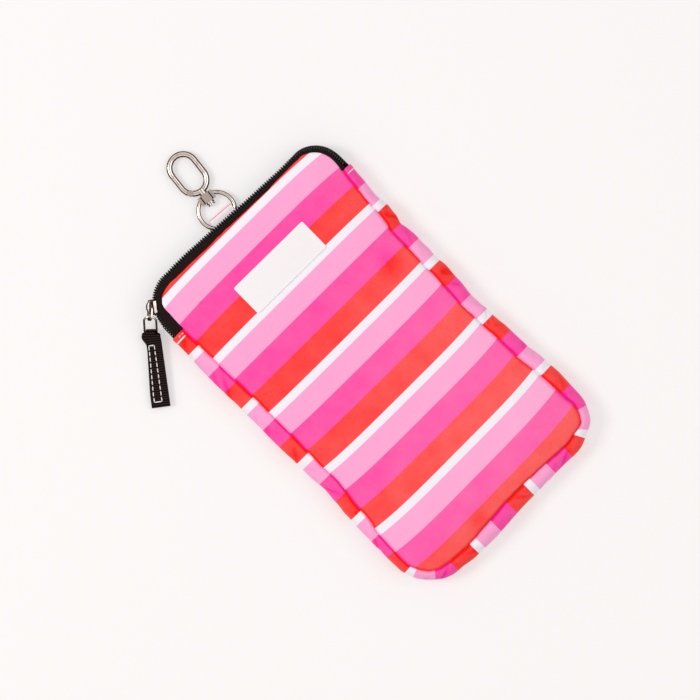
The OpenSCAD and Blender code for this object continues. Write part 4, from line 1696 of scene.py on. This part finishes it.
@dataclass
class ZipPull:
    """The folded webbing that hangs from the slider's ring, in millimetres and degrees."""

    shop: MaterialShop
    length: float = 34.5
    width: float = 8.6
    neck: float = 4.4
    layer: float = 1.05
    bore: float = 0.6
    heading: float = 226.0
    pitch: float = 42.0
    roll: float = 3.0
    lift: float = 39.0
    skew: float = 9.0
    rib: float = 1.1
    shoulder: float = 1.0
    pinch: float = 0.36
    pinch_start: float = 2.0
    pinch_rise: float = 4.0
    pinch_end: float = 6.0
    pinch_fall: float = 20.0
    upper_lag: float = -0.5
    under_lead: float = 0.3
    skew_reach: float = 4.0
    taper: float = 0.16
    layer_gap: float = 0.02
    step: float = 0.25
    taper_steps: int = 20
    turn_steps: int = 24
    rib_depth: float = 0.28
    rib_narrow: float = 0.006
    end_thin: float = 0.55
    end_reach: float = 2.0
    edge_power: float = 0.16
    face_power: float = 0.55
    rest_gap: float = 0.05
    sides: int = 30
    seam_lift: float = 0.07
    seam_rise: float = 0.3
    seam_steps: int = 20
    seam_ends: Spot = (2.6, 28.6)
    seam_sides: Spot = (-0.62, 0.20)
    long_stitches: Stitches = Stitches(2.0, 0.55, 0.26)
    cross_stitches: Stitches = Stitches(3.2, 0.2, 0.28)

    def __post_init__(self) -> None:
        """Finds the ring's bar and the webbing's own plane."""
        bar = next(joint["pos_m"] for joint in frame["joints"] if joint["name"] == "pull_fold")
        turn = Matrix.Identity(4)
        for angle, axis in ((self.heading, "Z"), (self.pitch, "Y"), (self.roll, "X"), (-self.lift, "Y")):
            turn = turn @ Matrix.Rotation(math.radians(angle), 4, axis)
        self.place = Matrix.Translation(Vector(bar) / MM) @ turn

    def _plan(self, x: float, y: float, under: bool = False) -> Vector:
        """Turns a place on the strap into the webbing's own plane.

        Args:
            x: Distance from the bar along the strap.
            y: Share of the width, from -1 to 1.
            under: True on the lower layer, which widens nearer to the bar.

        Returns:
            The place, with z at 0.
        """
        ahead = x + (self.under_lead if under else self.upper_lag)
        share = math.sin(clamp(ahead / self.shoulder) * math.pi / 2)
        angle = math.radians(self.skew) * clamp(abs(x) / self.skew_reach)
        half = (self.neck + (self.width - self.neck) * share) / 2
        if y < 0:
            rise = ease(clamp((x - self.pinch_start) / self.pinch_rise))
            fall = clamp((self.length - self.pinch_end - x) / self.pinch_fall)
            half *= 1 - self.pinch * rise * fall
        c, q = math.cos(angle), math.sin(angle)
        return Vector((x * c - y * half * q, x * q + y * half * c, 0))

    def _path(self) -> list[tuple[float, float, float, float]]:
        """Draws the strap's centre line from one free end over the bar to the other.

        Returns:
            For each point x, z and the direction in x and z.
        """
        fold, lay = self.bore + self.layer / 2, self.layer / 2 + self.layer_gap
        taper = self.taper * self.length
        flat = self.length - taper
        count, fine = int(flat / self.step), self.taper_steps
        half = [(self.length - flat * k / count, lay) for k in range(count + 1)]
        half += [(taper * (1 - k / fine), lay + (fold - lay) * ease(k / fine)) for k in range(1, fine)]
        turn = [(fold * c, fold * q) for c, q in arc(self.turn_steps, math.pi / 2, math.pi)]
        points = half + turn + [(0.0, -fold)] + [(x, -z) for x, z in reversed(half)]
        made = []
        for i, (x, z) in enumerate(points):
            a, b = points[max(i - 1, 0)], points[min(i + 1, len(points) - 1)]
            size = math.dist(a, b) or 1.0
            made.append((x, z, (b[0] - a[0]) / size, (b[1] - a[1]) / size))
        return made

    def strap(self) -> None:
        """Builds the webbing as one ribbed strap folded over the ring's bar."""
        path, draft, rows, along = self._path(), Draft(), [], 0.0
        for i, (x, z, dx, dz) in enumerate(path):
            along += math.dist((x, z), path[i - 1][:2]) if i else 0.0
            rib = 0.5 + 0.5 * math.sin(2 * math.pi * along / self.rib)
            end = min(self.end_thin + min(along, self.end_reach), 1.0)
            half_t = self.layer / 2 * (1 - self.rib_depth + self.rib_depth * rib) * end
            row = []
            for c, q in arc(self.sides):
                across = squared(c, self.edge_power) * (1 - self.rib_narrow * (1 - rib))
                flat = self._plan(x, across, z < 0)
                thick = squared(q, self.face_power) * half_t
                spot = self.place @ (Vector((flat.x, flat.y, z)) - Vector((-dz, 0, dx)) * thick)
                spot.z = max(spot.z, self.rest_gap)
                row.append(Knot(spot, along, across * self.width / 2))
            rows.append(row)
        draft.loft(rows)
        piece = draft.build("pull_strap", self.shop.made["webbing"])
        settle(piece, Body.WEBBING, Slot.WEBBING, "pull_webbing")

    def _seam(self, start: Spot, end: Spot) -> list[Vector]:
        """Draws a straight seam on the strap's upper face.

        Args:
            start: Distance along the strap and share of its width.
            end: The same at the other end.

        Returns:
            Points of the seam.
        """
        top, steps, taper, made = self.layer + self.seam_lift, self.seam_steps, self.taper * self.length, []
        for k in range(steps + 1):
            x, y = (a + (b - a) * (k / steps) for a, b in zip(start, end))
            flat = self._plan(x, y)
            rise = self.seam_rise * (1 - flat.x / taper) if flat.x < taper else 0.0
            made.append(self.place @ Vector((flat.x, flat.y, top + rise)))
        return made

    def stitches(self) -> None:
        """Builds the sewn rectangle of pale thread on the strap's upper face."""
        draft, (left, right) = Draft(), self.seam_sides
        low, high = (self.length - end for end in self.seam_ends)
        for y in (left, right):
            self.long_stitches.run(draft, self._seam((low, y), (high, y)))
        for x in (low, high):
            self.cross_stitches.run(draft, self._seam((x, left), (x, right)))
        settle(draft.build("pull_stitches", self.shop.made["white_thread"]), Body.WEBBING, Slot.WEBBING)


# Label, tab and metalwork


@dataclass
class Label:
    """The bare coated label, with a soft edge, in millimetres and degrees."""

    PRESSED = ((0.7, 0.02), (0.9, 0.05), (1.15, 0.0))

    shop: MaterialShop
    width: float = 43.7
    height: float = 16.25
    radius: float = 1.0
    least_r: float = 0.05
    x: float = 1.5
    y: float = 60.13
    turn: float = -0.2
    low: float = 15.0
    thickness: float = 0.5
    edge: float = 0.18
    edge_steps: int = 4
    corner_steps: int = 6

    def _ring(self, inset: float, z: float) -> list[Knot]:
        """Draws the label's outline.

        Args:
            inset: Distance inside the edge.
            z: Its height.

        Returns:
            The outline's points.
        """
        r, steps, made = max(self.radius - inset, self.least_r), self.corner_steps, []
        c, q = math.cos(math.radians(self.turn)), math.sin(math.radians(self.turn))
        for corner, (sx, sy) in enumerate(((1, 1), (-1, 1), (-1, -1), (1, -1))):
            for k in range(steps + 1):
                angle = math.pi / 2 * (corner + k / steps)
                x = sx * (self.width / 2 - inset - r) + r * math.cos(angle)
                y = sy * (self.height / 2 - inset - r) + r * math.sin(angle)
                made.append(Knot(Vector((self.x + x * c - y * q, self.y + x * q + y * c, z)), x, y))
        return made

    def build(self) -> None:
        """Builds the label with a rounded edge and a fine pressed line inside it."""
        draft, top = Draft(), self.low + self.thickness
        rows = [self._ring(0.0, self.low), self._ring(0.0, top - self.edge)]
        for k in range(1, self.edge_steps + 1):
            angle = math.pi / 2 * k / self.edge_steps
            inset = self.edge * (1 - math.cos(angle))
            rows.append(self._ring(inset, top - self.edge + self.edge * math.sin(angle)))
        rows += [self._ring(inset, top - drop) for inset, drop in self.PRESSED]
        draft.loft(rows)
        settle(draft.build("label", self.shop.made["label"]), Body.POUCH, Slot.LABEL, "label_patch")


@dataclass
class Tab:
    """The cloth tab that holds the swivel's loop, in millimetres."""

    shop: MaterialShop
    width: float = 12.4
    thickness: float = 0.38
    x: float = -0.45
    loop_y: float = 99.54
    loop_z: float = 1.95
    loop_r: float = 8.45
    wire: float = 1.9
    gap: float = 0.32
    front_run: float = 1.45
    fold: float = 0.5
    hem: float = 0.1
    bow: float = 0.05
    bow_from: float = 0.6
    edge_power: float = 0.14
    face_power: float = 0.6
    sides: int = 22
    run_steps: int = 12
    fold_steps: int = 10
    hem_steps: int = 8

    def _line(self) -> list[Spot]:
        """Draws the folded strip in its section.

        Returns:
            A loop of distance along the pouch and height.
        """
        rise = self.wire / 2 + self.gap
        back = self.loop_y - self.loop_r - rise
        bend = self.loop_y - self.front_run - self.fold
        steps, run = self.run_steps, bend - back
        under = [(back + run * k / steps, -rise) for k in range(steps + 1)]
        turn = arc(self.fold_steps, -math.pi / 2, math.pi)[1:]
        front = [(bend + self.fold * c, rise * q) for c, q in turn]
        over = [(bend - run * k / steps, rise) for k in range(steps + 1)]
        hem = [(back + self.hem * c, rise * q) for c, q in arc(self.hem_steps, math.pi / 2, math.pi)[1:]]
        return under + front + over + hem

    def build(self) -> None:
        """Builds the tab as one strip folded round the loop's wire."""
        line, draft, rows = self._line(), Draft(), []
        for i in range(len(line)):
            here, before, after = (Vector(line[k % len(line)]) for k in (i, i - 1, i + 1))
            way = (after - before).normalized()
            row = []
            for c, q in arc(self.sides):
                across = squared(c, self.edge_power)
                thick = squared(q, self.face_power) * self.thickness / 2
                spot = here + Vector((way.y, -way.x)) * thick
                bow = self.bow * math.cos(across * math.pi / 2) if here.y > self.bow_from else 0.0
                side = across * self.width / 2
                row.append(Knot(Vector((self.x + side, spot.x, self.loop_z + spot.y + bow)), spot.x, side))
            rows.append(row)
        draft.loft(rows, closed=True)
        piece = draft.build("hook_tab", self.shop.made["tab_cloth"])
        settle(piece, Body.TAB, Slot.TAB, "ring_tab")


@dataclass
class Metalwork:
    """The rigid metal pieces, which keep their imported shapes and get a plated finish."""

    FINISHES = {
        "plated_metal": (
            "slider_body", "slider_bridge", "puller_link", "puller_ring", "swivel_loop", "hook_frame",
            "swivel_post", "gate", "gate_pin",
        ),
        "spring_wire": ("gate_spring",),
    }

    shop: MaterialShop

    def finish(self) -> None:
        """Gives each metal node its material."""
        for finish, names in self.FINISHES.items():
            for name in names:
                materials = frame["nodes"][name].data.materials
                materials.clear()
                materials.append(self.shop.made[finish])
                LOG.info("finished %s with %s", name, finish)


# The stage


@dataclass
class Stage:
    """The pale floor, soft lights and the camera, in metres and degrees."""

    LAMPS = (
        ("key", (-0.8, 0.8, 1.2), 0.6, 9.9, (1.0, 0.985, 0.975)),
        ("fill", (0.8, -0.5, 1.3), 1.4, 5.4, (1.0, 0.99, 0.985)),
    )

    shop: MaterialShop
    centre: Spot = (-0.0023, 0.01115)
    turn: float = -44.7
    distance: float = 1.6
    focus_z: float = 0.006
    reach: float = 20.0
    width: float = 0.320
    sensor: float = 36.0
    floor_size: float = 6.0
    floor_z: float = -0.0002
    floor_glow: float = 0.49
    floor_roughness: float = 0.95
    pale: Colour = srgb(250, 248, 247)
    sky_tone: Colour = (0.64, 0.64, 0.64)
    horizon_tone: Colour = (0.44, 0.44 * 0.8, 0.44 * 0.72)
    sky_range: Spot = (0.1, 0.62)

    @staticmethod
    def _link(name: str, data: bpy.types.ID) -> bpy.types.Object:
        """Makes an object and links it to the scene.

        Args:
            name: Its name.
            data: Its mesh, camera or lamp.

        Returns:
            The object.
        """
        made = bpy.data.objects.new(name, data)
        bpy.context.scene.collection.objects.link(made)
        return made

    def camera(self) -> None:
        """Makes the camera, which looks straight down."""
        data = bpy.data.cameras.new("camera")
        data.sensor_width = self.sensor
        data.lens = data.sensor_width * self.distance / self.width
        data.clip_end = self.reach
        made = self._link("camera", data)
        made.location = (*self.centre, self.distance + self.focus_z)
        made.rotation_euler = (0, 0, math.radians(self.turn))
        bpy.context.scene.camera = made

    def floor(self) -> None:
        """Makes the pale floor, which keeps the pouch's shadow."""
        half, z = self.floor_size / 2, self.floor_z
        mesh = bpy.data.meshes.new("floor")
        corners = [(-half, -half, z), (half, -half, z), (half, half, z), (-half, half, z)]
        mesh.from_pydata(corners, [], [(0, 1, 2, 3)])
        graph = self.shop.start("floor")
        inputs = {"Base Color": self.pale, "Roughness": self.floor_roughness, "Specular IOR Level": 0.0}
        surface = graph.principled(inputs)
        glow = graph.node("ShaderNodeEmission", "Emission", {"Color": self.pale, "Strength": 1.0})
        graph.show(graph.blend_shaders(graph.background_rays() * self.floor_glow, surface, glow))
        mesh.materials.append(self.shop.made["floor"])
        self._link("floor", mesh)

    def lights(self) -> None:
        """Makes a soft key light from the picture's left, a weak fill and the sky."""
        for name, place, size, power, colour in self.LAMPS:
            data = bpy.data.lights.new(name, "AREA")
            data.shape = "DISK"
            data.size = size
            data.energy = power
            data.color = colour
            made = self._link(name, data)
            made.location = place
            made.rotation_euler = (-Vector(place)).to_track_quat("-Z", "Y").to_euler()
        world = bpy.data.worlds.new("sky")
        world.use_nodes = True
        graph = Graph(world.node_tree)
        height = graph.split(graph.coords("Generated"))[2]
        tone = graph.mix(height.ramp(*self.sky_range), self.horizon_tone, self.sky_tone)
        light = graph.node("ShaderNodeBackground", "Background", {"Color": tone})
        seen = graph.node("ShaderNodeBackground", "Background", {"Color": self.pale})
        graph.show(graph.blend_shaders(graph.background_rays(), light, seen), "ShaderNodeOutputWorld")
        bpy.context.scene.world = world
        bpy.context.scene.view_settings.view_transform = "Standard"


def main() -> None:
    """Builds the dressed pouch in order."""
    logging.basicConfig(level=logging.INFO, format="%(message)s")
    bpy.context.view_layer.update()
    shop = MaterialShop()
    stage = Stage(shop)
    stage.camera()
    stage.floor()
    stage.lights()
    shop.stock()
    form = PouchForm(Outline())
    shell = Shell(form, shop)
    shell.panels()
    shell.band()
    shell.bindings()
    shell.end_stitches()
    chain = Zip(form, shop)
    chain.tapes()
    chain.teeth()
    pull = ZipPull(shop)
    pull.strap()
    pull.stitches()
    Label(shop).build()
    Tab(shop).build()
    Metalwork(shop).finish()


if __name__ == "__main__":
    main()
